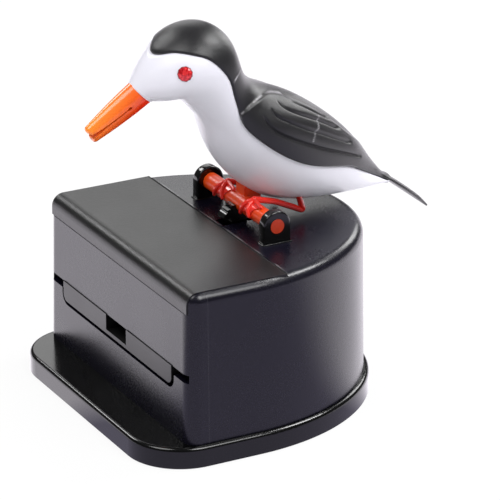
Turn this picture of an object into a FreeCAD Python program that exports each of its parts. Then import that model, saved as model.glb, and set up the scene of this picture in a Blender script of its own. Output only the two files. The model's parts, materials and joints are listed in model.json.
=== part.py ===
import FreeCAD, Part

import math
import os

import Sketcher
from fcgear import fcgear, involute

# Toothpick dispenser: a D-shaped box of toothpicks with a hinged bird on its deck.
# Frame: millimetres, +Z up, the slot side faces -Y, X = 0 is the plane of symmetry and the
# origin is the middle of the base plate's underside.

Vector = FreeCAD.Vector
doc = FreeCAD.newDocument("ToothpickDispenser")
sheet = doc.addObject("Spreadsheet::Sheet", "Sizes")

SIZES = {
    # base plate
    "plate_width": 77.0,
    "plate_front": 36.25,
    "plate_rear": 36.25,
    "plate_thick": 5.0,
    "plate_corner": 13.5,
    "plate_edge_round": 1.0,
    "shoulder_y": -9.0,
    # body shell
    "flange_front": 9.4,
    "flange_side": 1.3,
    "shell_wall": 2.0,
    "shell_corner": 3.4,
    "shell_rim_round": 2.6,
    "draft_angle": 0.8,
    "deck_top": 41.7,
    "deck_thick": 1.6,
    # lid over the hopper
    "lid_side_rim": 2.2,
    "lid_thick": 2.2,
    "lid_rear": -0.4,
    "lid_lip_drop": 4.95,
    "lid_lip_thick": 1.7,
    "lid_edge_round": 3.0,
    "lid_gap": 0.12,
    "lid_lip_gap": 0.6,
    "ledge_thick": 1.9,
    "ledge_width": 1.5,
    # front slots
    "slot_side_rim": 1.6,
    "slot_bottom": 19.92,
    "slot_top": 21.94,
    "flap_side_margin": 8.85,
    "flap_bottom": 17.13,
    "flap_gap": 1.0,
    "flap_corner": 1.8,
    "notch_width": 10.5,
    "notch_floor": 0.95,
    "notch_reach": 3.6,
    # chute under the hopper
    "chute_clearance": 0.35,
    "chute_thick": 1.4,
    "chute_floor_thick": 1.2,
    "chute_flat": 4.0,
    "chute_upright": 5.0,
    "chute_side_gap": 1.2,
    "chute_ledge_gap": 0.6,
    # toothpick and tray
    "pick_diameter": 2.0,
    "groove_clearance": 0.35,
    "groove_floor_rise": 2.7,
    "tray_lip": 1.85,
    "tray_depth": 19.0,
    "tray_wall": 2.0,
    "tongue_reach": 1.5,
    "tongue_thick": 1.5,
    "tongue_length": 9.0,
    "slide_clearance": 0.1,
    "rail_wall": 1.8,
    "rail_ledge": 3.0,
    "rail_front_gap": 0.4,
    "rail_overrun": 2.0,
    "tail_bar_half": 4.0,
    "tail_bar_thick": 2.0,
    "guide_start": -2.0,
    # perch and bird drive
    "axle_y": 6.2,
    "axle_z": 46.0,
    "perch_diameter": 4.2,
    "journal_diameter": 3.5,
    "journal_clearance": 0.06,
    "bracket_inner": 15.3,
    "bracket_thick": 2.6,
    "bracket_round": 3.6,
    "bracket_tenon": 2.2,
    "bracket_clearance": 0.05,
    "perch_end_gap": 0.15,
    "perch_end_proud": 0.1,
    "saddle_half": 2.0,
    "saddle_front": 0.2,
    "saddle_rear": 4.2,
    "saddle_height": 6.2,
    "hub_gap": 0.05,
    "bow_angle": 65.0,
    "gear_module": 0.9,
    "drive_teeth": 12,
    "lever_teeth": 18,
    "gear_thick": 3.0,
    "gear_mesh_gap": 0.2,
    "drive_hub_radius": 3.4,
    "lever_length": 10.2,
    "lever_nose": 1.6,
    "lever_pin": 2.5,
    "lever_pin_clearance": 0.05,
    "lug_thick": 2.4,
    "lug_half": 3.0,
    "lug_side_gap": 1.2,
    "drive_slot_half": 5.7,
    "drive_side_gap": 0.6,
    "lever_room_half": 6.5,
    "lever_room_lead": 1.2,
    "lever_room_roof": 0.3,
    "fork_clearance": 0.12,
    "fork_wall": 1.8,
    "fork_height": 4.0,
    # return spring
    "spring_radius": 2.0,
    "spring_wire": 0.5,
    "spring_turns": 9,
    "spring_post": 28.5,
    "post_radius": 1.8,
    "post_rise": 1.5,
    "spring_drop": 0.5,
    "spring_end_gap": 0.12,
    # screws under the plate
    "screw_side_inset": 5.0,
    "screw_side_y": -2.0,
    "screw_rear_inset": 4.0,
    "screw_rear_angle": 39.2,
    "screw_recess": 0.4,
    "screw_shank": 2.6,
    "screw_head": 5.0,
    "screw_head_thick": 1.6,
    "screw_length": 13.0,
    "boss_radius": 3.2,
    "boss_height": 20.0,
    # bird, drawn about its axle and scaled to its length from bill to tail
    "bird_length": 90.0,
    "cap_thick": 0.8,
    "cap_proud": 0.3,
    "eye_radius": 1.8,
    "eye_bulge": 0.8,
    "eye_sink": 1.2,
    "eye_dome_radius": 2.4,
    "eye_x": 9.0,
    "eye_y": -12.95,
    "eye_z": 83.7,
    "eye_angle": 22.0,
    "beak_slot": 0.6,
    "tail_thick": 1.2,
    "leg_x": 6.6,
    "shank_diameter": 1.5,
    "toe_diameter": 1.2,
    "web_thick": 0.5,
    "web_half": 2.2,
    "web_shift": 0.5,
    "web_wrap": 60.0,
}
for row, (name, value) in enumerate(SIZES.items(), start=1):
    sheet.set(f"A{row}", name)
    sheet.set(f"B{row}", str(value))
    sheet.setAlias(f"B{row}", name)
doc.recompute()


class Size:
    """A value together with the spreadsheet expression that gives it."""

    def __init__(self, value, text):
        self.value = value
        self.text = text

    def joined(self, other, sign, value):
        return Size(value, f"({self.text} {sign} {size_of(other).text})")

    def __add__(self, other):
        return self.joined(other, "+", self.value + size_of(other).value)

    def __sub__(self, other):
        return self.joined(other, "-", self.value - size_of(other).value)

    def __mul__(self, other):
        return self.joined(other, "*", self.value * size_of(other).value)

    def __truediv__(self, other):
        return self.joined(other, "/", self.value / size_of(other).value)

    def __rsub__(self, other):
        return size_of(other) - self

    def __neg__(self):
        return size_of(0) - self


def size_of(number):
    if isinstance(number, Size):
        return number
    return Size(float(number), f"{float(number):g}")


class Cells:
    """Every alias of the sheet as a Size attribute."""

    def __getattr__(self, name):
        return Size(float(sheet.get(name)), f"Sizes.{name}")


cell = Cells()

# ---- document helpers ------------------------------------------------------------------


def bind(item, prop, size):
    """Set a property to a size and tie it to the sheet."""
    item.setExpression(prop, size_of(size).text)


def box(name, low, high):
    """A Part::Box between two corners given as sizes."""
    item = doc.addObject("Part::Box", name)
    for side, axis, a, b in zip(("Length", "Width", "Height"), "xyz", low, high):
        bind(item, side, size_of(b) - a)
        bind(item, f"Placement.Base.{axis}", a)
    return item


AXIS_TURN = {
    "x": FreeCAD.Rotation(Vector(0, 1, 0), 90),
    "y": FreeCAD.Rotation(Vector(1, 0, 0), -90),
    "z": FreeCAD.Rotation(),
}


def rod(name, axis, start, radius, length):
    """A Part::Cylinder from a start point along +X, +Y or +Z."""
    item = doc.addObject("Part::Cylinder", name)
    item.Placement = FreeCAD.Placement(Vector(), AXIS_TURN[axis])
    bind(item, "Radius", radius)
    bind(item, "Height", length)
    for letter, place in zip("xyz", start):
        bind(item, f"Placement.Base.{letter}", place)
    return item


def fused(name, *items):
    item = doc.addObject("Part::MultiFuse", name)
    item.Shapes = list(items)
    return item


def cut(name, base, *tools):
    item = doc.addObject("Part::Cut", name)
    item.Base = base
    item.Tool = tools[0] if len(tools) == 1 else fused(f"{name}_cuts", *tools)
    return item


def shape_object(name, shape):
    item = doc.addObject("Part::Feature", name)
    item.Shape = shape
    return item


def origin_plane(body, role):
    return next(item for item in body.Origin.OriginFeatures if item.Role == role)


def sketched_loop(body, name, role, offset, corners):
    """A closed polygon on an origin plane with every corner tied to the sheet."""
    sketch = body.newObject("Sketcher::SketchObject", name)
    sketch.AttachmentSupport = [(origin_plane(body, role), "")]
    sketch.MapMode = "FlatFace"
    sketch.setExpression(".AttachmentOffset.Base.z", size_of(offset).text)
    points = [Vector(size_of(u).value, size_of(v).value, 0) for u, v in corners]
    for a, b in zip(points, points[1:] + points[:1]):
        sketch.addGeometry(Part.LineSegment(a, b), False)
    count = len(points)
    for i in range(count):
        sketch.addConstraint(Sketcher.Constraint("Coincident", i, 2, (i + 1) % count, 1))
    for i, corner in enumerate(corners):
        for kind, place in zip(("DistanceX", "DistanceY"), corner):
            size = size_of(place)
            index = sketch.addConstraint(Sketcher.Constraint(kind, -1, 1, i, 1, size.value))
            sketch.setExpression(f"Constraints[{index}]", size.text)
    return sketch


def prism(name, role, corners, start, length):
    """A body padded from a polygon: YZ_Plane pads along +X, XY_Plane along +Z."""
    body = doc.addObject("PartDesign::Body", name)
    sketch = sketched_loop(body, f"{name}_outline", role, start, corners)
    pad = body.newObject("PartDesign::Pad", f"{name}_pad")
    pad.Profile = sketch
    bind(pad, "Length", length)
    body.Tip = pad
    return body


NODES = {}


def node(name, item):
    """Keep an object as a piece of its own."""
    item.Label = name
    NODES[name] = item
    return item


# ---- places shared by several pieces ----------------------------------------------------

axle_y = cell.axle_y
axle_z = cell.axle_z
drive_pitch = cell.gear_module * cell.drive_teeth / 2
lever_pitch = cell.gear_module * cell.lever_teeth / 2
lever_z = axle_z - drive_pitch - lever_pitch - cell.gear_mesh_gap
half_swing = size_of(cell.bow_angle * cell.drive_teeth / cell.lever_teeth / 2)
rest_swing = math.radians(half_swing.value)
fork_y = axle_y + cell.lever_length.value * math.sin(rest_swing)
body_front = cell.flange_front - cell.plate_front
body_half = cell.plate_width / 2 - cell.flange_side
body_rear = cell.plate_rear - cell.flange_side
inner_front = body_front + cell.shell_wall
groove_radius = (cell.pick_diameter + cell.groove_clearance) / 2
flap_front = body_front
groove_front = flap_front + cell.tray_lip
groove_y = groove_front + groove_radius
groove_rear = groove_y + groove_radius
tray_rear = flap_front + cell.tray_depth
ledge_top = cell.deck_top - cell.lid_thick
ledge_bottom = ledge_top - cell.ledge_thick
lid_half = body_half - cell.lid_side_rim
slot_half = body_half - cell.slot_side_rim
flap_half = body_half - cell.flap_side_margin
hopper_half = lid_half - cell.ledge_width
drive_half = cell.gear_thick / 2
lug_inner = drive_half + cell.lug_side_gap
draft_slope = math.tan(math.radians(cell.draft_angle.value))
lid_setback = (cell.deck_top - cell.plate_thick) * draft_slope
bite = size_of(1)  # how far a fused piece runs into its neighbour
far = size_of(60)  # beyond every piece of the box


# ---- base plate and shell ---------------------------------------------------------------


def d_wire(half_width, front, rear, corner, level):
    """A D outline: straight front, two rounded corners, straight sides, half an ellipse."""
    shoulder = cell.shoulder_y.value
    low = front + corner
    diagonal = corner * math.sqrt(0.5)
    edges = []
    for side in (1, -1):
        x = side * half_width
        centre = Vector(x - side * corner, low, level)
        bend = Part.Arc(
            Vector(x - side * corner, front, level),
            centre + Vector(side * diagonal, -diagonal, 0),
            Vector(x, low, level),
        )
        edges.append(bend.toShape())
        edges.append(Part.LineSegment(Vector(x, low, level), Vector(x, shoulder, level)).toShape())
    centre = Vector(0, shoulder, level)
    ellipse = Part.Ellipse(Vector(0, rear, level), Vector(-half_width, shoulder, level), centre)
    edges.append(ellipse.toShape(-math.pi / 2, math.pi / 2))
    left = Vector(corner - half_width, front, level)
    edges.append(Part.LineSegment(left, Vector(half_width - corner, front, level)).toShape())
    return Part.Wire(Part.__sortEdges__(edges))


def d_block(half_width, front, rear, corner, low, high, shrink):
    """A D block whose top is smaller all round by shrink."""
    foot = d_wire(half_width, front, rear, corner, low)
    head = d_wire(half_width - shrink, front + shrink, rear - shrink, corner, high)
    return Part.makeLoft([foot, head], True, True)


def edges_at(shape, level):
    """The edges that lie wholly in the plane Z = level."""
    inside = []
    for edge in shape.Edges:
        bounds = edge.BoundBox
        if abs(bounds.ZMin - level) < 1e-4 and abs(bounds.ZMax - level) < 1e-4:
            inside.append(edge)
    return inside


def base_plate():
    thick = cell.plate_thick.value
    half = cell.plate_width.value / 2
    plate = d_block(half, -cell.plate_front.value, cell.plate_rear.value,
                    cell.plate_corner.value, 0, thick, 0)
    plate = plate.makeFillet(cell.plate_edge_round.value, edges_at(plate, thick))
    item = shape_object("plate_blank", plate)
    holes = []
    for number, (x, y) in enumerate(SCREW_PLACES, start=1):
        shank = rod(f"plate_hole_{number}", "z", (x, y, 0), cell.screw_shank / 2, cell.plate_thick)
        sink = rod(f"plate_sink_{number}", "z", (x, y, 0), cell.screw_head / 2,
                   cell.screw_head_thick + 0.4)
        holes += [shank, sink]
    node("base_plate", cut("base_plate", item, *holes))


screw_turn = math.radians(cell.screw_rear_angle.value)
screw_side_x = body_half - cell.screw_side_inset
screw_rear_x = (body_half - cell.screw_rear_inset) * math.sin(screw_turn)
screw_arc = body_rear - cell.shoulder_y - cell.screw_rear_inset
screw_rear_y = cell.shoulder_y + screw_arc * math.cos(screw_turn)
SCREW_PLACES = [
    (-screw_side_x, cell.screw_side_y),
    (screw_side_x, cell.screw_side_y),
    (-screw_rear_x, screw_rear_y),
    (screw_rear_x, screw_rear_y),
]


def plate_screws():
    for number, (x, y) in enumerate(SCREW_PLACES, start=1):
        sunk = cell.screw_recess
        head = rod(f"screw_head_{number}", "z", (x, y, sunk), cell.screw_head / 2,
                   cell.screw_head_thick)
        shank = rod(f"screw_shank_{number}", "z", (x, y, sunk), cell.screw_shank / 2,
                    cell.screw_length)
        node(f"plate_screw_{number}", fused(f"plate_screw_{number}", head, shank))


def body_shell():
    low = cell.plate_thick.value
    top = cell.deck_top.value
    wall = cell.shell_wall.value
    half, front, rear = body_half.value, body_front.value, body_rear.value
    corner = cell.shell_corner.value
    outer = d_block(half, front, rear, corner, low, top, draft_slope * (top - low))
    outer = outer.makeFillet(cell.shell_rim_round.value, edges_at(outer, top))
    under = top - cell.deck_thick.value
    inside_corner = corner - wall
    cavity = d_block(half - wall, front + wall, rear - wall, inside_corner, low, under,
                     draft_slope * (under - low))
    ledge = Part.makeBox(4 * half, -front + cell.lid_rear.value + wall, top,
                         Vector(-2 * half, front, ledge_bottom.value))
    shell = outer.cut(cavity.cut(ledge))
    item = shape_object("shell_blank", shell)
    recess_half = lid_half + cell.lid_gap
    lid_end = cell.lid_rear + cell.lid_gap
    lip_back = body_front + cell.lid_lip_thick + cell.lid_gap + cell.lid_lip_gap
    lip_low = cell.deck_top - cell.lid_lip_drop - cell.lid_gap
    front_reach = body_front + cell.shell_wall + bite
    drive_room = drive_half + cell.drive_side_gap
    lever_front = cell.lid_rear - cell.lever_room_lead
    cuts = [
        box("lid_recess", (-recess_half, -far, ledge_top), (recess_half, lid_end, far)),
        box("lip_recess", (-recess_half, -far, lip_low), (recess_half, lip_back, far)),
        box("hopper_mouth", (-hopper_half, inner_front + cell.rail_front_gap, ledge_bottom - bite),
            (hopper_half, cell.lid_rear - cell.ledge_width, far)),
        box("pick_slot", (-slot_half, -far, cell.slot_bottom),
            (slot_half, front_reach, cell.slot_top)),
        *flap_opening(front_reach),
        box("drive_slot", (-drive_room, axle_y - cell.drive_slot_half, ledge_bottom),
            (drive_room, axle_y + cell.drive_slot_half, far)),
        box("lever_room", (-drive_room, lever_front, lever_z - cell.lug_half),
            (drive_room, axle_y + cell.lever_room_half, ledge_top - cell.lever_room_roof)),
    ]
    for side, name in ((-1, "left"), (1, "right")):
        cuts.append(bracket_hole(side, name))
    hollowed = cut("shell_hollow", item, *cuts)
    lugs = []
    lug_top = cell.deck_top - cell.deck_thick / 2
    for side, name in ((-1, "left"), (1, "right")):
        near = lug_inner if side > 0 else -(lug_inner + cell.lug_thick)
        lugs.append(box(f"lug_{name}", (near, axle_y - cell.lug_half, lever_z - cell.lug_half),
                        (near + cell.lug_thick, axle_y + cell.lug_half, lug_top)))
    for number, (x, y) in enumerate(SCREW_PLACES, start=1):
        lugs.append(rod(f"screw_boss_{number}", "z", (x, y, cell.plate_thick), cell.boss_radius,
                        cell.boss_height))
    joined = fused("shell_joined", hollowed, *lugs)
    pin_reach = lug_inner + cell.lug_thick
    drills = [rod("lug_bore", "x", (-pin_reach - bite, axle_y, lever_z), cell.lever_pin / 2,
                  (pin_reach + bite) * 2)]
    for number, (x, y) in enumerate(SCREW_PLACES, start=1):
        drills.append(rod(f"boss_hole_{number}", "z", (x, y, cell.plate_thick),
                          cell.screw_shank / 2, cell.screw_length))
    node("body_shell", cut("body_shell", joined, *drills))


def flap_opening(reach):
    """The flap's opening, round at its lower corners and concentric with the flap's own."""
    half = flap_half + cell.flap_gap
    bottom = cell.flap_bottom - cell.flap_gap
    corner = cell.flap_corner + cell.flap_gap
    inner = half - corner
    pieces = [
        box("flap_opening", (-half, -far, bottom + corner), (half, reach, cell.slot_top)),
        box("flap_opening_low", (-inner, -far, bottom), (inner, reach, cell.slot_top)),
    ]
    for x, name in ((-inner, "left"), (inner, "right")):
        pieces.append(rod(f"flap_opening_{name}", "y", (x, -far, bottom + corner), corner,
                          reach + far))
    return pieces


def bracket_hole(side, name):
    """The rectangular hole in the deck that takes a bracket's tenon."""
    gap = cell.bracket_clearance
    half = cell.bracket_round - 1 + gap
    near = cell.bracket_inner - gap if side > 0 else -(cell.bracket_inner + cell.bracket_thick + gap)
    return box(f"bracket_hole_{name}", (near, axle_y - half, ledge_bottom),
               (near + cell.bracket_thick + gap * 2, axle_y + half, 60))


def brackets():
    """Two uprights with a round top, a bore for the perch and a tenon through the deck."""
    for side, name in ((-1, "left"), (1, "right")):
        near = cell.bracket_inner if side > 0 else -(cell.bracket_inner + cell.bracket_thick)
        half = cell.bracket_round
        post = box(f"bracket_post_{name}", (near, axle_y - half, cell.deck_top),
                   (near + cell.bracket_thick, axle_y + half, axle_z))
        arch = rod(f"bracket_arch_{name}", "x", (near, axle_y, axle_z), half, cell.bracket_thick)
        tenon = box(f"bracket_tenon_{name}",
                    (near, axle_y - half + 1, cell.deck_top - cell.bracket_tenon),
                    (near + cell.bracket_thick, axle_y + half - 1, axle_z))
        blank = fused(f"bracket_blank_{name}", post, arch, tenon)
        bore = rod(f"bracket_bore_{name}", "x", (near - 1, axle_y, axle_z),
                   cell.journal_diameter / 2 + cell.journal_clearance, cell.bracket_thick + 2)
        node(f"bracket_{name}", cut(f"bracket_{name}", blank, bore))


# ---- lid, chute and tray ----------------------------------------------------------------


def lid():
    """A flat lid whose front edge turns down into a lip that a finger pulls forward."""
    front = body_front + lid_setback
    top, drop = cell.deck_top, cell.deck_top - cell.lid_lip_drop
    corners = [
        (front, drop), (front + cell.lid_lip_thick, drop),
        (front + cell.lid_lip_thick, ledge_top), (cell.lid_rear, ledge_top),
        (cell.lid_rear, top), (front, top),
    ]
    body = prism("lid", "YZ_Plane", corners, -lid_half, lid_half * 2)
    doc.recompute()
    pad = body.Tip
    front_edge = edge_near(pad.Shape, front.value, top.value)
    edge = body.newObject("PartDesign::Fillet", "lid_front_round")
    edge.Base = (pad, [front_edge])
    bind(edge, "Radius", cell.lid_edge_round)
    body.Tip = edge
    node("lid", body)


def edge_near(shape, y, z):
    """The name of the edge along X that lies at (y, z)."""
    for number, edge in enumerate(shape.Edges, start=1):
        middle = edge.BoundBox.Center
        if edge.BoundBox.XLength > 1 and math.hypot(middle.y - y, middle.z - z) < 0.01:
            return f"Edge{number}"
    raise ValueError(f"no edge at y {y}, z {z}")


def hopper_chute():
    """The sloping floor that leads toothpicks down to the groove of the tray."""
    floor = cell.slot_top + cell.chute_clearance
    low_y = groove_rear + cell.slide_clearance
    back = cell.lid_rear - cell.ledge_width - cell.chute_ledge_gap
    rear = back + cell.chute_thick
    bend = ledge_bottom - cell.chute_upright
    corners = [
        (low_y, floor), (low_y + cell.chute_flat, floor), (rear, bend), (rear, ledge_bottom),
        (back, ledge_bottom), (back, bend + cell.chute_floor_thick / 2),
        (low_y, floor + cell.chute_floor_thick),
    ]
    reach = body_half - cell.shell_wall - cell.chute_side_gap
    node("hopper_chute", prism("hopper_chute", "YZ_Plane", corners, -reach, reach * 2))


def pick_tray():
    """The drawer with a groove for one toothpick, a notch for the beak and a forked tail."""
    half, bottom, top = flap_half, cell.flap_bottom, cell.slot_top
    groove_floor = bottom + cell.groove_floor_rise
    profile = [
        (flap_front, bottom), (tray_rear, bottom), (tray_rear, top), (groove_rear, top),
        (groove_rear, groove_floor), (groove_front, groove_floor), (groove_front, top),
        (flap_front, top),
    ]
    block = prism("tray_block", "YZ_Plane", profile, -half, half * 2)
    hollow = box("tray_hollow", (-half + cell.tray_wall, groove_rear + cell.tray_wall, -far),
                 (half - cell.tray_wall, tray_rear - cell.tray_wall, top - cell.tray_wall))
    notch_half = cell.notch_width / 2
    notch = box("tray_notch", (-notch_half, -far, bottom + cell.notch_floor),
                (notch_half, groove_rear + cell.notch_reach, far))
    trimmed = cut("tray_trimmed", block, hollow, notch, *flap_corners())
    bar_low = bottom
    bar_half = cell.tail_bar_half
    fork_front = fork_y - cell.lever_nose - cell.fork_clearance
    fork_back = fork_y + cell.lever_nose + cell.fork_clearance
    bar_rear = fork_back + cell.fork_wall
    fork_top = bottom + cell.tail_bar_thick + cell.fork_height
    bar = box("tray_bar", (-bar_half, tray_rear - bite, bar_low),
              (bar_half, bar_rear, bottom + cell.tail_bar_thick))
    front_wall = box("fork_front", (-bar_half, fork_front - cell.fork_wall, bar_low),
                     (bar_half, fork_front, fork_top))
    rear_wall = box("fork_rear", (-bar_half, fork_back, bar_low), (bar_half, bar_rear, fork_top))
    tongues = []
    for side, name in ((-1, "left"), (1, "right")):
        near = half - bite if side > 0 else -(half + cell.tongue_reach)
        tongues.append(box(f"tongue_{name}", (near, tray_rear - cell.tongue_length, bottom),
                           (near + cell.tongue_reach + bite, tray_rear,
                            bottom + cell.tongue_thick)))
    tray = fused("tray_solid", trimmed, bar, front_wall, rear_wall, *tongues)
    node("pick_tray", tray)


def flap_corners():
    """What rounds the flap's two lower corners, where it shows in the front wall."""
    corner, bottom = cell.flap_corner, cell.flap_bottom
    front, depth = flap_front - bite, cell.shell_wall + bite * 2
    pieces = []
    for side, name in ((-1, "left"), (1, "right")):
        near = flap_half - corner if side > 0 else -(flap_half + bite)
        block = box(f"corner_block_{name}", (near, front, bottom - bite),
                    (near + corner + bite, front + depth, bottom + corner))
        centre = flap_half - corner if side > 0 else corner - flap_half
        keep = rod(f"corner_keep_{name}", "y", (centre, front - bite, bottom + corner), corner,
                   depth + bite * 2)
        pieces.append(cut(f"corner_cut_{name}", block, keep))
    return pieces


def tray_rails():
    """Two rails that hold the tray's tongues, standing on the plate."""
    gap = cell.slide_clearance
    bottom = cell.flap_bottom
    half = flap_half
    low = cell.plate_thick
    wall = cell.rail_wall
    tongue_edge = half + cell.tongue_reach + gap
    over = bottom + cell.tongue_thick + gap
    corners = [
        (half - cell.rail_ledge, low), (tongue_edge + wall, low), (tongue_edge + wall, over + wall),
        (half + gap * 3, over + wall), (half + gap * 3, over), (tongue_edge, over),
        (tongue_edge, bottom - gap), (half - cell.rail_ledge, bottom - gap),
    ]
    front = inner_front + cell.rail_front_gap
    rear = tray_rear + cell.rail_overrun
    for side, name in ((-1, "left"), (1, "right")):
        points = [(x if side > 0 else -x, z) for x, z in corners]
        rail = prism(f"tray_rail_{name}", "XZ_Plane", points, -rear, rear - front)
        node(f"tray_rail_{name}", rail)


def tail_guide():
    """The channel that keeps the tray's tail straight, with the spring's fixed post."""
    gap = cell.slide_clearance
    low, bottom = cell.plate_thick, cell.flap_bottom
    inner = cell.tail_bar_half + gap * 2
    outer = inner + cell.rail_wall
    start, end = cell.guide_start, cell.spring_post + cell.post_radius + bite
    channel = box("guide_block", (-outer, start, low), (outer, end, bottom + cell.tail_bar_thick))
    groove = box("guide_groove", (-inner, start - bite, bottom - gap),
                 (inner, cell.spring_post - cell.post_radius - bite, far))
    post = rod("spring_post", "z", (0, cell.spring_post, low), cell.post_radius,
               spring_z + cell.spring_radius + cell.post_rise - low)
    node("tail_guide", fused("tail_guide", cut("guide_channel", channel, groove), post))


fork_top = cell.flap_bottom + cell.tail_bar_thick + cell.fork_height
spring_z = fork_top - cell.spring_radius - cell.spring_drop


# ---- drive from the perch to the tray ---------------------------------------------------


def gear_blank(teeth, thick):
    """An involute gear with stub teeth about the X axis, one tooth on +Y."""
    wires = fcgear.FCWireBuilder()
    involute.CreateExternalGear(wires, cell.gear_module.value, teeth, 25.0, False,
                                addCoeff=0.8, dedCoeff=1.05, filletCoeff=0.2)
    outline = Part.Wire([curve.toShape() for curve in wires.wire])
    solid = Part.Face(outline).extrude(Vector(0, 0, thick))
    solid.translate(Vector(0, 0, -thick / 2))
    solid.rotate(Vector(), Vector(1, 1, 1), 120)
    return solid


def wedge(start, end, radius, thick):
    """A slice about the X axis from one angle to another, measured from +Y towards +Z."""
    points = [Vector()]
    steps = 8
    for i in range(steps + 1):
        angle = math.radians(start + (end - start) * i / steps)
        points.append(Vector(0, radius * math.cos(angle), radius * math.sin(angle)))
    face = Part.Face(Part.makePolygon(points + points[:1]))
    solid = face.extrude(Vector(thick, 0, 0))
    solid.translate(Vector(-thick / 2, 0, 0))
    return solid


def disc(radius, thick):
    return Part.makeCylinder(radius, thick, Vector(-thick / 2, 0, 0), Vector(1, 0, 0))


def drive_sector():
    """The toothed quadrant that hangs under the perch, with teeth only where they mesh."""
    thick = cell.gear_thick.value
    teeth = gear_blank(round(cell.drive_teeth.value), thick)
    spare = 12
    teeth = teeth.common(wedge(-90 - cell.bow_angle.value - spare, -90 + spare, 40, thick + 2))
    hub = disc(cell.drive_hub_radius.value, thick)
    hub = hub.common(wedge(-180, 0, 40, thick + 2))
    sector = teeth.fuse(hub).cut(disc(cell.perch_diameter.value / 2, thick + 2)).removeSplitter()
    item = shape_object("drive_sector", sector)
    bind(item, "Placement.Base.y", axle_y)
    bind(item, "Placement.Base.z", axle_z)
    node("drive_sector", item)


def reversing_lever():
    """Toothed head, bored hub and round-nosed tail, drawn at its rest angle."""
    thick = cell.gear_thick.value
    swing = math.degrees(rest_swing)
    spare = 17
    head = gear_blank(round(cell.lever_teeth.value), thick)
    head = head.common(wedge(90 - spare, 90 + 2 * swing + spare, 40, thick + 2))
    hub = disc(cell.lever_pin.value / 2 + 2, thick)
    nose = cell.lever_nose.value
    length = cell.lever_length.value
    tip = disc(nose, thick)
    tip.translate(Vector(0, 0, -length))
    arm = Part.makeBox(thick, 2 * nose - 1, length, Vector(-thick / 2, 0.5 - nose, -length))
    tail = tip.fuse(arm)
    tail.rotate(Vector(), Vector(1, 0, 0), swing)
    bore = disc(cell.lever_pin.value / 2 + cell.lever_pin_clearance.value, thick + 2)
    lever = head.fuse([hub, tail]).cut(bore).removeSplitter()
    item = shape_object("reversing_lever", lever)
    bind(item, "Placement.Base.y", axle_y)
    bind(item, "Placement.Base.z", lever_z)
    node("reversing_lever", item)


def lever_pin():
    reach = lug_inner + cell.lug_thick
    node("lever_pin", rod("lever_pin", "x", (-reach, axle_y, lever_z), cell.lever_pin / 2,
                          reach * 2))


def return_spring():
    """An extension spring from the tray's fork back to the fixed post."""
    radius, wire = cell.spring_radius.value, cell.spring_wire.value
    start = fork_y.value + cell.lever_nose.value + cell.fork_clearance.value
    start += cell.fork_wall.value + cell.hub_gap.value
    end = cell.spring_post.value - cell.post_radius.value - cell.spring_end_gap.value
    length = end - start - wire
    helix = Part.makeHelix(length / cell.spring_turns.value, length, radius)
    profile = Part.Wire(Part.Circle(Vector(radius, 0, 0), Vector(0, 1, 0), wire / 2).toShape())
    coil = Part.Wire(helix.Edges).makePipeShell([profile], True, True)
    coil.rotate(Vector(), Vector(1, 0, 0), -90)
    coil.translate(Vector(0, start + wire / 2, 0))
    item = shape_object("return_spring", coil)
    bind(item, "Placement.Base.z", spring_z)
    node("return_spring", item)


def perch_axle():
    """The perch rod with thinner ends in the brackets and a saddle that carries the bird."""
    inner = cell.bracket_inner - cell.perch_end_gap
    reach = cell.bracket_inner + cell.bracket_thick + cell.perch_end_proud
    perch = rod("perch_bar", "x", (-inner, axle_y, axle_z), cell.perch_diameter / 2, inner * 2)
    ends = rod("perch_ends", "x", (-reach, axle_y, axle_z), cell.journal_diameter / 2, reach * 2)
    node("perch_axle", fused("perch_axle", perch, ends, saddle("perch_saddle")))


def saddle(name):
    """The block on the perch that the bird's body sits on."""
    half = cell.saddle_half
    return box(name, (-half, axle_y - cell.saddle_front, axle_z + cell.hub_gap),
               (half, axle_y + cell.saddle_rear, axle_z + cell.saddle_height))


# ---- bird -------------------------------------------------------------------------------

# Each station of the bird runs from its throat or belly side to its crown or back side:
# y and z of the lower point, y and z of the upper point, half width.
STATIONS = [
    (-17.3, 75.3, -22.4, 79.9, 3.6),
    (-15.3, 75.1, -19.6, 83.6, 6.2),
    (-13.0, 75.1, -15.9, 87.4, 8.6),
    (-11.0, 74.9, -10.8, 91.0, 10.0),
    (-8.8, 73.4, -4.0, 91.8, 10.5),
    (-7.0, 71.4, 2.0, 87.3, 10.6),
    (-4.9, 68.8, 5.0, 79.4, 11.0),
    (-3.5, 65.4, 11.5, 74.3, 12.2),
    (-1.8, 60.4, 18.6, 71.2, 13.2),
    (2.0, 54.5, 27.1, 65.5, 13.0),
    (8.3, 48.8, 34.2, 58.9, 11.6),
    (17.0, 45.6, 39.0, 52.7, 9.0),
    (30.0, 45.0, 42.8, 47.9, 6.2),
    (43.0, 44.9, 45.6, 46.1, 3.6),
]
RING_POINTS = 8


# The bird is drawn in side view (y, z) about this axle, from this bill tip to this tail tip.
AXLE_AT = (6.2, 46.0)
BILL_TIP = (-33.0, 69.2)
TAIL_TIP = (57.0, 35.9)
bird_scale = cell.bird_length.value / (TAIL_TIP[0] - BILL_TIP[0])


def placed(x, y, z):
    """A point of the bird as drawn, moved to its true size about the perch's axis."""
    return Vector(x * bird_scale, axle_y.value + (y - AXLE_AT[0]) * bird_scale,
                  axle_z.value + (z - AXLE_AT[1]) * bird_scale)


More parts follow.
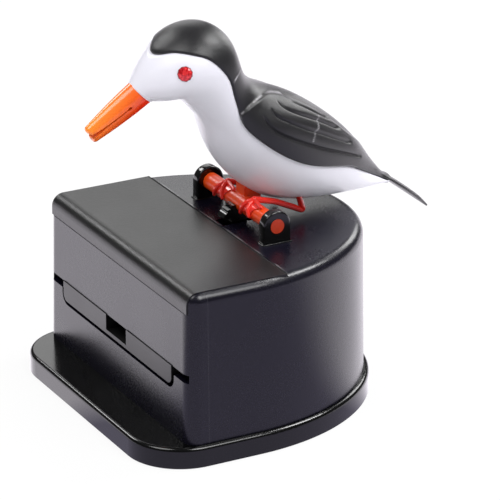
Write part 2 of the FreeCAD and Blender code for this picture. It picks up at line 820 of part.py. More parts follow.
def bird_ring(station, inset):
    """The closed ring of one station, smaller all round by inset, seam at its lower point."""
    low_y, low_z, high_y, high_z, width = station
    low, high = placed(0, low_y, low_z), placed(0, high_y, high_z)
    rise = (high - low) * 0.5
    middle = low + rise
    rise.multiply(1 - inset / rise.Length)
    points = []
    for i in range(RING_POINTS):
        angle = 2 * math.pi * i / RING_POINTS
        side = Vector((width * bird_scale - inset) * math.sin(angle), 0, 0)
        points.append(middle + side - rise * math.cos(angle))
    curve = Part.BSplineCurve()
    curve.interpolate(Points=points, PeriodicFlag=True,
                      Parameters=[float(i) for i in range(RING_POINTS + 1)])
    return curve


def bird_solid(inset):
    """One smooth surface through every ring, closed by a flat face at the bill and the tail."""
    rings = [bird_ring(station, inset) for station in STATIONS]
    around = rings[0]
    ribs = []
    for poles in zip(*(ring.getPoles() for ring in rings)):
        rib = Part.BSplineCurve()
        rib.interpolate(Points=list(poles), Parameters=[float(i) for i in range(len(rings))])
        ribs.append(rib)
    along = ribs[0]
    surface = Part.BSplineSurface()
    surface.buildFromPolesMultsKnots(
        [rib.getPoles() for rib in ribs], around.getMultiplicities(), along.getMultiplicities(),
        around.getKnots(), along.getKnots(), True, False, around.Degree, along.Degree)
    face = surface.toShape()
    ends = [Part.Face(Part.Wire(edge)) for edge in face.Edges if edge.isClosed()]
    skin = Part.makeShell([face] + ends)
    skin.sewShape()
    solid = Part.makeSolid(skin)
    if solid.Volume < 0:
        solid.reverse()
    return solid


# The edge of the dark cap, wing and back as seen from the side, forehead to tail.
CAP_EDGE = [
    (-26.0, 83.4), (-20.0, 84.6), (-17.5, 86.2), (-15.1, 87.4), (-12.8, 87.9), (-9.1, 87.2),
    (-6.1, 85.6), (-3.3, 82.6), (-1.8, 79.8), (-1.1, 76.8), (-0.3, 73.6), (0.9, 69.6),
    (4.5, 65.5), (9.5, 61.6), (14.7, 58.5), (20.5, 56.3), (28.6, 54.1), (33.7, 51.7),
    (41.2, 47.4), (44.5, 45.6), (52.0, 42.8),
]


def cap_region():
    """Everything above the cap's edge, as a block across the bird."""
    reach = 20
    points = [placed(-reach, y, z) for y, z in CAP_EDGE]
    curve = Part.BSplineCurve()
    curve.interpolate(points)
    above = [points[-1], placed(-reach, 60, 120), placed(-reach, -40, 120), points[0]]
    outline = Part.Wire([curve.toShape()] + Part.makePolygon(above).Edges)
    return Part.Face(outline).extrude(placed(reach, 0, 0) - placed(-reach, 0, 0))


def bird_body():
    """The pale body, pocketed for what it carries, and the dark shell that covers its back."""
    proud = cell.cap_proud.value
    core = bird_solid(cell.cap_thick.value - proud)
    region = cap_region()
    shell = bird_solid(-proud).common(region).cut(core)
    pale = bird_solid(0).cut(region).fuse(core).removeSplitter()
    back = shape_object("bird_back_skin", shell)
    belly = shape_object("bird_belly_skin", pale)
    pocket = saddle("belly_saddle")
    eyes = []
    for side, name in ((-1, "left"), (1, "right")):
        eyes.append(eye_bead(side, f"belly_eye_{name}"))
    tail = tail_blade_solid("belly_tail_slot")
    node("bird_belly", cut("bird_belly", belly, pocket, tail, *eyes))
    node("bird_back", cut("bird_back", back, tail_blade_solid("back_tail_slot")))


def eye_bead(side, name):
    """A round bead let into the side of the head, with a domed face."""
    turn = math.radians(cell.eye_angle.value)
    out = Vector(side * math.cos(turn), -math.sin(turn), 0)
    centre = placed(side * cell.eye_x.value, cell.eye_y.value, cell.eye_z.value)
    facing = FreeCAD.Rotation(Vector(0, 0, 1), out)
    stud = doc.addObject("Part::Cylinder", f"{name}_stud")
    bind(stud, "Radius", cell.eye_radius)
    bind(stud, "Height", cell.eye_sink + cell.eye_dome_radius)
    stud.Placement = FreeCAD.Placement(centre - out * cell.eye_sink.value, facing)
    dome = doc.addObject("Part::Sphere", f"{name}_dome")
    bind(dome, "Radius", cell.eye_dome_radius)
    hollow = cell.eye_dome_radius - cell.eye_bulge
    dome.Placement = FreeCAD.Placement(centre - out * hollow.value, facing)
    bead = doc.addObject("Part::Common", name)
    bead.Base = stud
    bead.Tool = dome
    return bead


def eyes():
    for side, name in ((-1, "left"), (1, "right")):
        node(f"eye_{name}", eye_bead(side, f"eye_{name}"))


def tail_blade_solid(name):
    """The flat blade that carries on from the rump, pointed at its tip."""
    thick = cell.tail_thick.value
    root, tip = placed(0, 43.5, 46.6), placed(0, *TAIL_TIP)
    along = (tip - root).normalize()
    up = Vector(1, 0, 0).cross(along).normalize() * (thick / 2)
    outline = [(3.0, 0.0), (3.3, 0.45), (2.2, 0.85), (0.5, 1.0), (-0.5, 1.0), (-2.2, 0.85),
               (-3.3, 0.45), (-3.0, 0.0)]
    length = (tip - root).Length
    points = [root - up + Vector(x, 0, 0) + along * (length * part) for x, part in outline]
    face = Part.Face(Part.makePolygon(points + points[:1]))
    return shape_object(name, face.extrude(up * 2))


def beak():
    """Two prongs that part at a slot, joined at the base."""
    base, tip = placed(0, -19.6, 77.8), placed(0, *BILL_TIP)
    along = tip - base
    rings = []
    sizes = [(0.0, 3.0, 3.4), (0.35, 2.7, 3.05), (0.7, 2.05, 2.6), (1.0, 1.3, 2.0)]
    up = Vector(1, 0, 0).cross(along).normalize()
    for part, half_width, half_height in sizes:
        middle = base + along * part
        points = []
        for i in range(12):
            angle = 2 * math.pi * i / 12
            points.append(middle + Vector(half_width, 0, 0) * math.cos(angle)
                          + up * (half_height * math.sin(angle)))
        curve = Part.BSplineCurve()
        curve.interpolate(points, PeriodicFlag=True)
        rings.append(Part.Wire(curve.toShape()))
    solid = Part.makeLoft(rings, True, False)
    split = Part.makeBox(10, along.Length, cell.beak_slot.value, Vector(-5, 0, 0))
    split.translate(Vector(0, 0, -cell.beak_slot.value / 2))
    frame = FreeCAD.Rotation(Vector(1, 0, 0), along, up, "XYZ")
    split.Placement = FreeCAD.Placement(base + along * 0.25, frame) * split.Placement
    cone = solid.cut(split).cut(bird_solid(0))
    solids = sorted(cone.Solids, key=lambda piece: -piece.Volume)
    node("beak", shape_object("beak", solids[0]))


def tail_blade():
    node("tail_blade", tail_blade_solid("tail_blade"))


def bent_rod(points, radius):
    """Straight round rods joined by balls."""
    pieces = []
    for a, b in zip(points, points[1:]):
        pieces.append(Part.makeCylinder(radius, (b - a).Length, a, b - a))
    for point in points[1:-1]:
        pieces.append(Part.makeSphere(radius, point))
    return pieces[0].fuse(pieces[1:])


def on_perch(x, angle, lift):
    """A point lifted off the perch, at an angle in degrees forward from its top."""
    reach = cell.perch_diameter.value / 2 + lift
    turn = math.radians(angle)
    return Vector(x, axle_y.value - reach * math.sin(turn), axle_z.value + reach * math.cos(turn))


def toe_points(x, spread, wrap, radius):
    """Points along one toe, which fans out along the perch as it laps round it."""
    steps = 3
    points = []
    for i in range(steps + 1):
        share = i / steps
        points.append(on_perch(x + spread * share, wrap * share, radius))
    return points


# How far each toe runs along the perch from the ankle, and how far round it in degrees.
TOES = [(-2.6, 90.0), (1.5, 100.0), (4.0, 22.0)]


def foot(x):
    """Three toes and the web between them, lapped over the perch."""
    radius, half = cell.toe_diameter.value / 2, cell.web_half.value
    web = disc(cell.perch_diameter.value / 2 + cell.web_thick.value, half * 2)
    web = web.common(wedge(90, 90 + cell.web_wrap.value, 40, half * 2 + 2))
    web.translate(Vector(x + cell.web_shift.value, axle_y.value, axle_z.value))
    pieces = [web]
    for spread, wrap in TOES:
        points = toe_points(x, spread * bird_scale, wrap, radius)
        pieces.append(bent_rod(points, radius))
        pieces.append(Part.makeSphere(radius, points[-1]))
    return pieces


def legs():
    """A thigh, a bent shank and a webbed foot on each side."""
    shank = cell.shank_diameter.value / 2
    perch = disc(cell.perch_diameter.value / 2, 60)
    perch.translate(Vector(0, axle_y.value, axle_z.value))
    body = bird_solid(0)
    for side, name in ((-1, "left"), (1, "right")):
        x = side * cell.leg_x.value
        ankle = on_perch(x, 0, shank)
        route = [ankle]
        for y, z in ((11.7, 47.3), (19.2, 43.7), (17.7, 48.5)):
            point = placed(0, y, z)
            route.append(Vector(x, point.y, point.z))
        leg = bent_rod(route, shank).fuse([Part.makeSphere(shank, ankle)] + foot(x))
        leg = leg.cut(perch).cut(body)
        solids = sorted(leg.Solids, key=lambda piece: -piece.Volume)
        node(f"leg_{name}", shape_object(f"leg_{name}", solids[0]))


# ---- build ------------------------------------------------------------------------------

for make in (base_plate, plate_screws, body_shell, brackets, lid, hopper_chute, pick_tray,
             tray_rails, tail_guide, drive_sector, reversing_lever, lever_pin, return_spring,
             perch_axle, bird_body, eyes, tail_blade, beak, legs):
    make()
doc.recompute()

for item in doc.Objects:
    if "Invalid" in item.State or "Error" in item.State:
        raise ValueError(f"{item.Label}: {item.State}")
os.makedirs("parts", exist_ok=True)
for name, item in NODES.items():
    shape = item.Shape
    if shape.isNull() or not shape.isValid():
        raise ValueError(f"{name} is not a valid shape")
    shape.exportStep(f"parts/{name}.step")
    bounds = shape.BoundBox
    print(f"{name}: {len(shape.Solids)} solid(s), {shape.Volume:.1f} mm3, "
          f"x {bounds.XMin:.2f}..{bounds.XMax:.2f} y {bounds.YMin:.2f}..{bounds.YMax:.2f} "
          f"z {bounds.ZMin:.2f}..{bounds.ZMax:.2f}")
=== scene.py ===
import json
import math
import bpy
import numpy as np
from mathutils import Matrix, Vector


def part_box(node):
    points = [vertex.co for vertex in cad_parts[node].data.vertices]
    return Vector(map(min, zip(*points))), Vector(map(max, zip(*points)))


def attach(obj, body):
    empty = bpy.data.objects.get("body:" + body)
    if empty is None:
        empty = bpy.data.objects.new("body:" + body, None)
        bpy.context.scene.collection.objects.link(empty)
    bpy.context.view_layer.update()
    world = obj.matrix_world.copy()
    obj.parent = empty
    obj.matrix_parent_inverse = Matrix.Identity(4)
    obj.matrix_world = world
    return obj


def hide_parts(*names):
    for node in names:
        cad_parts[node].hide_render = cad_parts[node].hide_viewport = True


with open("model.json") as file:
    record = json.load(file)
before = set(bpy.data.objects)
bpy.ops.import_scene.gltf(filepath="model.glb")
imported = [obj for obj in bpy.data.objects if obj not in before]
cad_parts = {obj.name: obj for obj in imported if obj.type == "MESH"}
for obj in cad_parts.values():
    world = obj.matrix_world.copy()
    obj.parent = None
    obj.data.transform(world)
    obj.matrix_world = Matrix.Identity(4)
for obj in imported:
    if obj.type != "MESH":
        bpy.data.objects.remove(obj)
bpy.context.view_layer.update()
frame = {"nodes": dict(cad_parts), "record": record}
nodes = frame["nodes"]
mm = 0.001  # shapes are reckoned in millimetres, the scene is in metres
print("frame loaded:", len(nodes), "nodes")


# camera, lamps and floor; angles are in degrees, lengths here in metres

cameraSet = {"azimuth": 61.898, "elevation": 22.19, "distance": 0.88842,
             "target": (0.003529, 0.006724, 0.034869), "focalPixels": 3783.1, "framePixels": 500}


def directionFrom(azimuth, elevation):
    # unit vector from the object to a viewer; azimuth 0 stands in front, on the -Y side
    a, e = math.radians(azimuth), math.radians(elevation)
    return Vector((math.sin(a) * math.cos(e), -math.cos(a) * math.cos(e), math.sin(e)))


def addCamera(s):
    # stands back from the target; the lens is focal length over frame, times the sensor's width
    data = bpy.data.cameras.new("camera")
    camera = bpy.data.objects.new("camera", data)
    bpy.context.scene.collection.objects.link(camera)
    back = directionFrom(s["azimuth"], s["elevation"])
    camera.location = Vector(s["target"]) + back * s["distance"]
    camera.rotation_euler = (-back).to_track_quat("-Z", "Y").to_euler()
    data.sensor_width = 36
    data.lens = s["focalPixels"] / s["framePixels"] * data.sensor_width
    data.clip_end = 20
    bpy.context.scene.camera = camera


# the two front softboxes leave a dark gap on the crown; the others show in the lid, on the
# crown's far side and on the shoulder
lampAim = Vector((0, 0, 0.045))
lampSet = [
    {"name": "leftSoftbox", "azimuth": 5, "elevation": 58, "distance": 0.8, "size": 0.45,
     "watts": 2.75},
    {"name": "rightSoftbox", "azimuth": 112, "elevation": 52, "distance": 0.8, "size": 0.42,
     "watts": 3.8},
    {"name": "lidSoftbox", "azimuth": 250, "elevation": 24, "distance": 0.42, "size": 0.22,
     "watts": 0.19},
    {"name": "crownSoftbox", "azimuth": 286, "elevation": 36, "distance": 0.8, "size": 0.22,
     "watts": 1.15},
    {"name": "capSoftbox", "azimuth": 178, "elevation": 50, "distance": 0.8, "size": 0.26,
     "watts": 3.3},
    {"name": "backSoftbox", "azimuth": 208, "elevation": 24, "distance": 0.28, "size": 0.10,
     "watts": 0.15},
]


def addLamps(lamps, aim):
    # round area lamps, each at its distance from the aim and facing it
    for s in lamps:
        data = bpy.data.lights.new(s["name"], "AREA")
        data.shape = "DISK"
        data.size = s["size"]
        data.energy = s["watts"]
        lamp = bpy.data.objects.new(s["name"], data)
        bpy.context.scene.collection.objects.link(lamp)
        lamp.location = aim + directionFrom(s["azimuth"], s["elevation"]) * s["distance"]
        lamp.rotation_euler = (aim - lamp.location).to_track_quat("-Z", "Y").to_euler()


# shader helpers: arithmetic on sockets, and one method for every other node

class Wire:
    # a value on its way through a material: each operation on it adds one node
    def __init__(self, graph, socket):
        self.graph = graph
        self.socket = socket

    def calc(self, operation, a, b=0.0):
        return self.graph.node("ShaderNodeMath", {"operation": operation}, [a, b])

    def clamped(self):
        return self.graph.node("ShaderNodeClamp", {}, [self, 0.0, 1.0])

    def __abs__(self):
        return self.calc("ABSOLUTE", self)

    def __add__(self, other):
        return self.calc("ADD", self, other)

    def __radd__(self, other):
        return self.calc("ADD", other, self)

    def __sub__(self, other):
        return self.calc("SUBTRACT", self, other)

    def __rsub__(self, other):
        return self.calc("SUBTRACT", other, self)

    def __mul__(self, other):
        return self.calc("MULTIPLY", self, other)

    def __rmul__(self, other):
        return self.calc("MULTIPLY", other, self)

    def __truediv__(self, other):
        return self.calc("DIVIDE", self, other)

    def __pow__(self, other):
        return self.calc("POWER", self, other)


class Graph:
    # one material and the nodes that feed its shader
    def __init__(self, name):
        self.material = bpy.data.materials.new(name)
        self.material.use_nodes = True
        self.tree = self.material.node_tree
        self.shader = self.tree.nodes["Principled BSDF"]
        self.end = self.tree.nodes["Material Output"]

    def put(self, socket, value):
        if isinstance(value, Wire):
            self.tree.links.new(value.socket, socket)
        else:
            socket.default_value = value

    def node(self, kind, settings, values, out=0):
        # values go to the sockets in order, or by name where they are a dictionary
        item = self.tree.nodes.new(kind)
        for name, value in settings.items():
            setattr(item, name, value)
        pairs = values.items() if isinstance(values, dict) else enumerate(values)
        for key, value in pairs:
            self.put(item.inputs[key], value)
        return Wire(self, item.outputs[out])

    def place(self):
        return self.node("ShaderNodeTexCoord", {}, {}, "Object")

    def axis(self, number):
        # x, y or z of the point on the surface, in metres
        return self.node("ShaderNodeSeparateXYZ", {}, [self.place()], number)

    def ray(self, name):
        return self.node("ShaderNodeLightPath", {}, {}, name)

    def noise(self, scale, detail=2.0, rough=0.5):
        values = {"Vector": self.place(), "Scale": scale, "Detail": detail, "Roughness": rough}
        return self.node("ShaderNodeTexNoise", {}, values, "Fac")

    def mix(self, factor, a, b):
        return self.node("ShaderNodeMix", {"data_type": "RGBA"}, {0: factor, 6: a, 7: b}, 2)

    def glow(self, shade, strength):
        return self.node("ShaderNodeEmission", {}, {"Color": shade, "Strength": strength})

    def surface(self, **values):
        # names are the shader's own, with _ for a space
        for name, value in values.items():
            self.put(self.shader.inputs[name.replace("_", " ")], value)
        return self.material


def rgb(r, g, b):
    return (r, g, b, 1.0)


# moulded plastics: the colour wavers from dark to light, and a fine grain shows in the gloss
plasticSet = {
    "plate": {"dark": rgb(0.0006, 0.0006, 0.0007), "light": rgb(0.0012, 0.0012, 0.0014),
              "rough": 0.16, "grain": 2600, "bump": 0.05, "coat": 0.0},
    "shell": {"dark": rgb(0.0024, 0.0019, 0.0068), "light": rgb(0.0044, 0.0037, 0.0098),
              "rough": 0.27, "grain": 2400, "bump": 0.12, "coat": 0.0},
    "lid": {"dark": rgb(0.0040, 0.0040, 0.0042), "light": rgb(0.0065, 0.0065, 0.0068),
            "rough": 0.34, "grain": 2600, "bump": 0.24, "coat": 0.0},
    "gloss_black": {"dark": rgb(0.0015, 0.0015, 0.0015), "light": rgb(0.0030, 0.0030, 0.0030),
                    "rough": 0.16, "grain": 1500, "bump": 0.01, "coat": 0.2},
    "inner_black": {"dark": rgb(0.0040, 0.0040, 0.0040), "light": rgb(0.0070, 0.0070, 0.0070),
                    "rough": 0.38, "grain": 2200, "bump": 0.05, "coat": 0.0},
    "bird_white": {"dark": rgb(0.72, 0.71, 0.79), "light": rgb(0.76, 0.75, 0.82),
                   "rough": 0.34, "grain": 900, "bump": 0.01, "coat": 0.1},
    "bird_black": {"dark": rgb(0.0085, 0.0085, 0.0095), "light": rgb(0.0150, 0.0145, 0.0165),
                   "rough": 0.34, "grain": 5200, "bump": 0.24, "coat": 0.0},
    "orange": {"dark": rgb(0.70, 0.040, 0.002), "light": rgb(0.84, 0.075, 0.004),
               "rough": 0.22, "grain": 3000, "bump": 0.0, "coat": 0.3},
    "red": {"dark": rgb(0.78, 0.022, 0.014), "light": rgb(0.92, 0.040, 0.024),
            "rough": 0.14, "grain": 3000, "bump": 0.0, "coat": 0.4},
    "eye_red": {"dark": rgb(0.34, 0.004, 0.008), "light": rgb(0.80, 0.040, 0.045),
                "rough": 0.08, "grain": 500, "bump": 0.0, "coat": 0.6},
}

# how far a plastic's clouds and grain move its colour and its roughness, and how high grain is
waverSet = {"cloudScale": 60, "cloudColor": 0.7, "cloudRough": 0.10,
            "grainColor": 0.3, "grainRough": 0.06, "grainHeight": 0.0002, "coatRough": 0.08}


def wavering(g, s):
    # colour is dark to light by a share of cloud plus a share of grain, roughness goes up and
    # down with the same two, and the grain is also the bump's height
    w = waverSet
    cloud = g.noise(w["cloudScale"], detail=3.0)
    grain = g.noise(s["grain"], rough=0.6)
    shade = g.mix(cloud * w["cloudColor"] + grain * w["grainColor"], s["dark"], s["light"])
    rough = s["rough"] + (cloud - 0.5) * w["cloudRough"] + (grain - 0.5) * w["grainRough"]
    bump = g.node("ShaderNodeBump", {},
                  {"Strength": s["bump"], "Distance": w["grainHeight"], "Height": grain})
    return shade, rough, bump


def mouldedPlastic(name, s):
    g = Graph(name)
    shade, rough, bump = wavering(g, s)
    return g.surface(Base_Color=shade, Roughness=rough, Normal=bump, Coat_Weight=s["coat"],
                     Coat_Roughness=waverSet["coatRough"])


# painted highlight on the bird's dark shell: pale broken lines along its fine raised ridges
ridgeHighlightSet = {"color": rgb(0.62, 0.60, 0.64), "strength": 0.7, "scale": 330, "contrast": 3.0,
            "cut": 1.0}


def ridgeHighlightedPlastic(name, s, ridgeHighlight):
    # painted paler, as a highlight, where the ridges' mesh attribute is high, in patches that a
    # noise leaves out
    g = Graph(name)
    shade, rough, bump = wavering(g, s)
    onRidge = g.node("ShaderNodeAttribute", {"attribute_name": "ridgeHighlight"}, {}, "Fac")
    broken = g.noise(ridgeHighlight["scale"], detail=3.0, rough=0.6) * ridgeHighlight["contrast"] - ridgeHighlight["cut"]
    pale = (onRidge * broken).clamped() * ridgeHighlight["strength"]
    shade = g.mix(pale, shade, ridgeHighlight["color"])
    return g.surface(Base_Color=shade, Roughness=rough, Normal=bump, Coat_Weight=s["coat"])


# the seam across the top: the lid's edge is dull, and a broken pale line is painted on the deck's
# edge beside it as a highlight
seamSet = {"lidEdge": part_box("lid")[1][1], "deckTop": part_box("lid")[1][2], "topDepth": 0.0003,
           "topBlend": 0.000125, "sharpness": 3.0, "lidWidth": 0.00042, "lidDull": 0.66,
           "deckWidth": 0.00022, "deckSetBack": 1.6, "deckStrength": 0.8,
           "deckScale": 140, "deckContrast": 4.0, "deckCut": 1.6, "pale": rgb(0.17, 0.17, 0.18)}
# a faint pale line is painted on each side wall where the front corner's curve ends, a painted
# highlight of that bend
cornerSet = {"y": -0.0217, "width": 0.00014, "sharpness": 2.0, "sideWall": 0.030,
             "wallBlend": 0.00025, "strength": 0.06}


def onLine(away, width, sharpness):
    # 1 on a line, 0 from a width away
    return ((1.0 - abs(away) / width) * sharpness).clamped()


def seamMask(g, middle, width):
    # 1 on a line across the part at y = middle, on the top only
    s = seamSet
    top = (g.axis(2) - (s["deckTop"] - s["topDepth"])) / s["topBlend"]
    return onLine(g.axis(1) - middle, width, s["sharpness"]) * top.clamped()


def shellPlastic(name, s, seam, corner):
    # paler by painted highlights: a broken line on the deck along the seam, and a faint line on
    # the side walls where the front corner's curve ends
    g = Graph(name)
    shade, rough, bump = wavering(g, s)
    middle = seam["lidEdge"] + seam["deckWidth"] * seam["deckSetBack"]
    # a broken pale line painted on the deck beside the seam, a highlight on its edge
    paintedHighlight = seamMask(g, middle, seam["deckWidth"])
    noise = g.noise(seam["deckScale"], detail=3.0, rough=0.6)
    broken = (noise * seam["deckContrast"] - seam["deckCut"]).clamped()
    shade = g.mix(paintedHighlight * broken * seam["deckStrength"], shade, seam["pale"])
    # a faint pale line painted on each side wall, a highlight where the front corner's curve ends
    line = onLine(g.axis(1) - corner["y"], corner["width"], corner["sharpness"])
    wall = ((abs(g.axis(0)) - corner["sideWall"]) / corner["wallBlend"]).clamped()
    shade = g.mix(line * wall * corner["strength"], shade, seam["pale"])
    return g.surface(Base_Color=shade, Roughness=rough, Normal=bump, Coat_Weight=s["coat"])


def lidPlastic(name, s, seam):
    # rougher on the line along the lid's rear edge
    g = Graph(name)
    shade, rough, bump = wavering(g, s)
    rough = rough + seamMask(g, seam["lidEdge"], seam["lidWidth"]) * seam["lidDull"]
    return g.surface(Base_Color=shade, Roughness=rough, Normal=bump, Coat_Weight=s["coat"])


steelSet = {"color": rgb(0.56, 0.57, 0.59), "rough": 0.22, "scratchScale": 900,
            "scratchRough": 0.16}


def drawnSteel(name, s):
    # roughness is the least one plus a share of fine noise
    g = Graph(name)
    rough = s["rough"] + g.noise(s["scratchScale"], detail=4.0) * s["scratchRough"]
    return g.surface(Base_Color=s["color"], Metallic=1.0, Roughness=rough)


materials = {name: mouldedPlastic(name, s) for name, s in plasticSet.items()}
materials["bird_black"] = ridgeHighlightedPlastic("bird_black", plasticSet["bird_black"], ridgeHighlightSet)
materials["shell"] = shellPlastic("shell", plasticSet["shell"], seamSet, cornerSet)
materials["lid"] = lidPlastic("lid", plasticSet["lid"], seamSet)
materials["steel"] = drawnSteel("steel", steelSet)
slotOf = {part["node"]: part["material_slot"] for part in frame["record"]["subparts"]}
for name, item in nodes.items():
    item.data.materials.clear()
    item.data.materials.append(materials[slotOf[name]])
print("materials:", len(materials))


# studio floor: pale paper, white to the camera, still holding a soft shadow. What the walls
# mirror is bright, and dims where the cosine of the angle from dimSide passes dimFrom
floorSet = {"size": 12, "drop": 0.0002, "paper": rgb(0.80, 0.80, 0.80), "rough": 0.9, "seen": 0.9,
            "dimSide": 68.0, "dimFrom": 0.12, "dimFull": 0.5, "mirrorStrength": 2.0,
            "mirrorBright": rgb(0.92, 0.88, 0.95), "mirrorDim": rgb(0.31, 0.29, 0.38)}


def addFloor(s):
    bpy.ops.mesh.primitive_plane_add(size=s["size"], location=(0, 0, -s["drop"]))
    floor = bpy.context.object
    floor.name = "floor"
    g = Graph("floorPaper")
    g.surface(Base_Color=s["paper"], Roughness=s["rough"])
    x, y = g.axis(0), g.axis(1)
    side = math.radians(s["dimSide"])
    radius = (x * x + y * y) ** 0.5 + mm
    toward = (x * math.sin(side) - y * math.cos(side)) / radius
    dim = ((toward - s["dimFrom"]) / (s["dimFull"] - s["dimFrom"])).clamped()
    card = g.glow(g.mix(dim, s["mirrorBright"], s["mirrorDim"]), s["mirrorStrength"])
    lit = Wire(g, g.shader.outputs[0])
    paper = g.node("ShaderNodeMixShader", {},
                   [g.ray("Is Camera Ray") * s["seen"], lit, g.glow(rgb(1, 1, 1), 1.0)])
    blend = g.node("ShaderNodeMixShader", {}, [g.ray("Is Glossy Ray"), paper, card])
    g.put(g.end.inputs["Surface"], blend)
    floor.data.materials.append(g.material)


# how bright the room looks to the camera, to mirror-like rays and to all other rays
worldSet = {"camera": 1.0, "glossy": 0.10, "diffuse": 0.42}


def setWorld(s):
    # the level is the one for other rays, mixed over to glossy and then to camera
    world = bpy.data.worlds.new("studio")
    bpy.context.scene.world = world
    world.use_nodes = True
    tree = world.node_tree
    back = tree.nodes["Background"]
    back.inputs["Color"].default_value = rgb(1, 1, 1)
    path = tree.nodes.new("ShaderNodeLightPath")
    level = s["diffuse"]
    for ray, name in (("Is Glossy Ray", "glossy"), ("Is Camera Ray", "camera")):
        pick = tree.nodes.new("ShaderNodeMix")
        tree.links.new(path.outputs[ray], pick.inputs["Factor"])
        if isinstance(level, float):
            pick.inputs["A"].default_value = level
        else:
            tree.links.new(level, pick.inputs["A"])
        pick.inputs["B"].default_value = s[name]
        level = pick.outputs["Result"]
    tree.links.new(level, back.inputs["Strength"])


addCamera(cameraSet)
addLamps(lampSet, lampAim)
addFloor(floorSet)
setWorld(worldSet)
bpy.context.scene.view_settings.view_transform = "Standard"
print("stage ready")


# the bird: one smooth skin through rings that stand between a lower and an upper profile point

# every ring is (lower y, lower z, upper y, upper z, half width), bill to tail, in millimetres
birdRings = np.array([
    (-17.3, 75.3, -22.4, 79.9, 3.6), (-15.3, 75.1, -19.6, 83.6, 6.2),
    (-13.0, 75.1, -15.9, 87.4, 8.6), (-11.0, 74.9, -10.8, 91.0, 10.0),
    (-8.8, 73.4, -4.0, 91.8, 10.5), (-7.0, 71.4, 2.0, 87.3, 10.6),
    (-4.9, 68.8, 5.0, 79.4, 11.0), (-3.5, 65.4, 11.5, 74.3, 12.2),
    (-1.8, 60.4, 18.6, 71.2, 13.2), (2.0, 54.5, 27.1, 65.5, 13.0),
    (8.3, 48.8, 34.2, 58.9, 11.6), (17.0, 45.6, 39.0, 52.7, 9.0),
    (30.0, 45.0, 42.8, 47.9, 6.2), (43.0, 44.9, 45.6, 46.1, 3.6)])

# the edge of the dark cap, wing and back in side view (y, z), forehead to tail
capEdge = [(-20, 84.6), (-17.5, 86.2), (-15.1, 87.4), (-12.8, 87.9), (-9.1, 87.2), (-6.1, 85.6),
           (-3.3, 82.6), (-1.8, 79.8), (-1.1, 76.8), (-0.3, 73.6), (0.9, 69.6), (4.5, 65.5),
           (9.5, 61.6), (14.7, 58.5), (20.5, 56.3), (28.6, 54.1), (33.7, 51.7), (41.2, 47.4),
           (44.5, 45.6), (50, 43.5)]

# creases pressed into the folded wing, and the panel that they lie in, in the same side view
wingSet = {
    "grooves": [[(14.8, 71.7), (19.2, 69.2), (23.0, 66.8), (27.0, 64.4)],
                [(10.5, 72.8), (12.4, 71.0), (16.0, 69.0), (21.0, 66.5), (25.0, 64.2),
                 (29.0, 61.8)],
                [(8.0, 72.2), (9.3, 70.3), (12.2, 68.5), (16.5, 66.1), (20.7, 64.0), (26.4, 61.0),
                 (31.6, 58.2)],
                [(5.2, 71.7), (6.8, 68.9), (8.8, 67.0), (12.2, 65.0), (17.0, 62.6), (22.0, 60.2),
                 (28.0, 57.5), (34.6, 54.2)]],
    "grooveDepth": 0.54, "grooveWidth": 0.25, "swellDepth": 0.12, "swellWidth": 0.9,
    "grooveFade": 2.2, "fadeFrom": 32.0, "fadeLength": 8.0,
    "panel": [(-3.0, 70.0), (0.4, 72.8), (3.0, 74.3), (7.6, 74.7), (11.5, 73.9), (15.4, 72.2),
              (21.3, 68.8), (26.9, 64.7), (30.4, 61.6), (36.0, 57.0), (44.0, 52.0), (50.0, 49.0),
              (50.0, 38.0), (10.0, 48.0), (-4.0, 60.0)],
    "panelRise": 0.45, "panelBlend": 0.8,
    # fine raised ridges at the wing's leading edge, its crease and the nape, painted pale as a
    # highlight
    "ridgeHighlights": [[(0.4, 72.6), (3.0, 74.2), (7.6, 74.5), (11.5, 73.6), (14.1, 72.7)],
               [(22.6, 66.7), (21.0, 65.9), (20.6, 65.0), (19.3, 64.4), (18.1, 62.9)],
               [(1.6, 82.1), (-0.1, 81.3), (-1.3, 80.2)]],
    "ridgeHighlightRise": 0.08, "ridgeHighlightWidth": 0.17, "panelSteps": 8, "lineSteps": 5,
}

birdSet = {"rows": 400, "columns": 212, "innerColumns": 18, "paleRows": 210, "paleColumns": 180,
           "darkOuter": 0.30, "darkInner": -0.30, "paleUnder": -0.38, "rimRound": 0.42,
           "seam": 0.10, "step": 0.35, "dome": 1.1, "domeRows": 10,
           "thinFrom": 11.6, "thinLength": 1.3, "rimDrop": 0.9, "edgeCrowd": 0.25,
           "headRows": 0.12, "headShare": 0.06, "least": 1e-3,
           "findRows": 1400, "findAngles": 500, "probe": 0.004}


def naturalSpline(values, at):
    # cubic through values at 0, 1, 2 ... with straight ends: solve for the second derivatives
    n = len(values)
    table = np.zeros((n, n))
    right = np.zeros((n,) + values.shape[1:])
    table[0, 0] = table[-1, -1] = 1
    for i in range(1, n - 1):
        table[i, i - 1:i + 2] = 1, 4, 1
        right[i] = 6 * (values[i - 1] - 2 * values[i] + values[i + 1])
    bend = np.linalg.solve(table, right)
    low = np.clip(np.floor(at).astype(int), 0, n - 2)
    f = (at - low)[..., None]
    g = 1 - f
    return (values[low] * g + values[low + 1] * f
            + (bend[low] * (g ** 3 - g) + bend[low + 1] * (f ** 3 - f)) / 6)


def dense(points, steps=14):
    # a smooth line through the points, with this many steps from each point to the next
    line = np.array(points, float)
    return naturalSpline(line, np.linspace(0, len(line) - 1, (len(line) - 1) * steps + 1))


def skin(u, t):
    # t turns round a ring from its lower point; half width goes with sin t, rise with -cos t
    ring = naturalSpline(birdRings, u)
    low, high, wide = ring[..., 0:2], ring[..., 2:4], ring[..., 4]
    side = (low + high) / 2 - (high - low) / 2 * np.cos(t)[..., None]
    return np.concatenate([(wide * np.sin(t))[..., None], side], axis=-1)


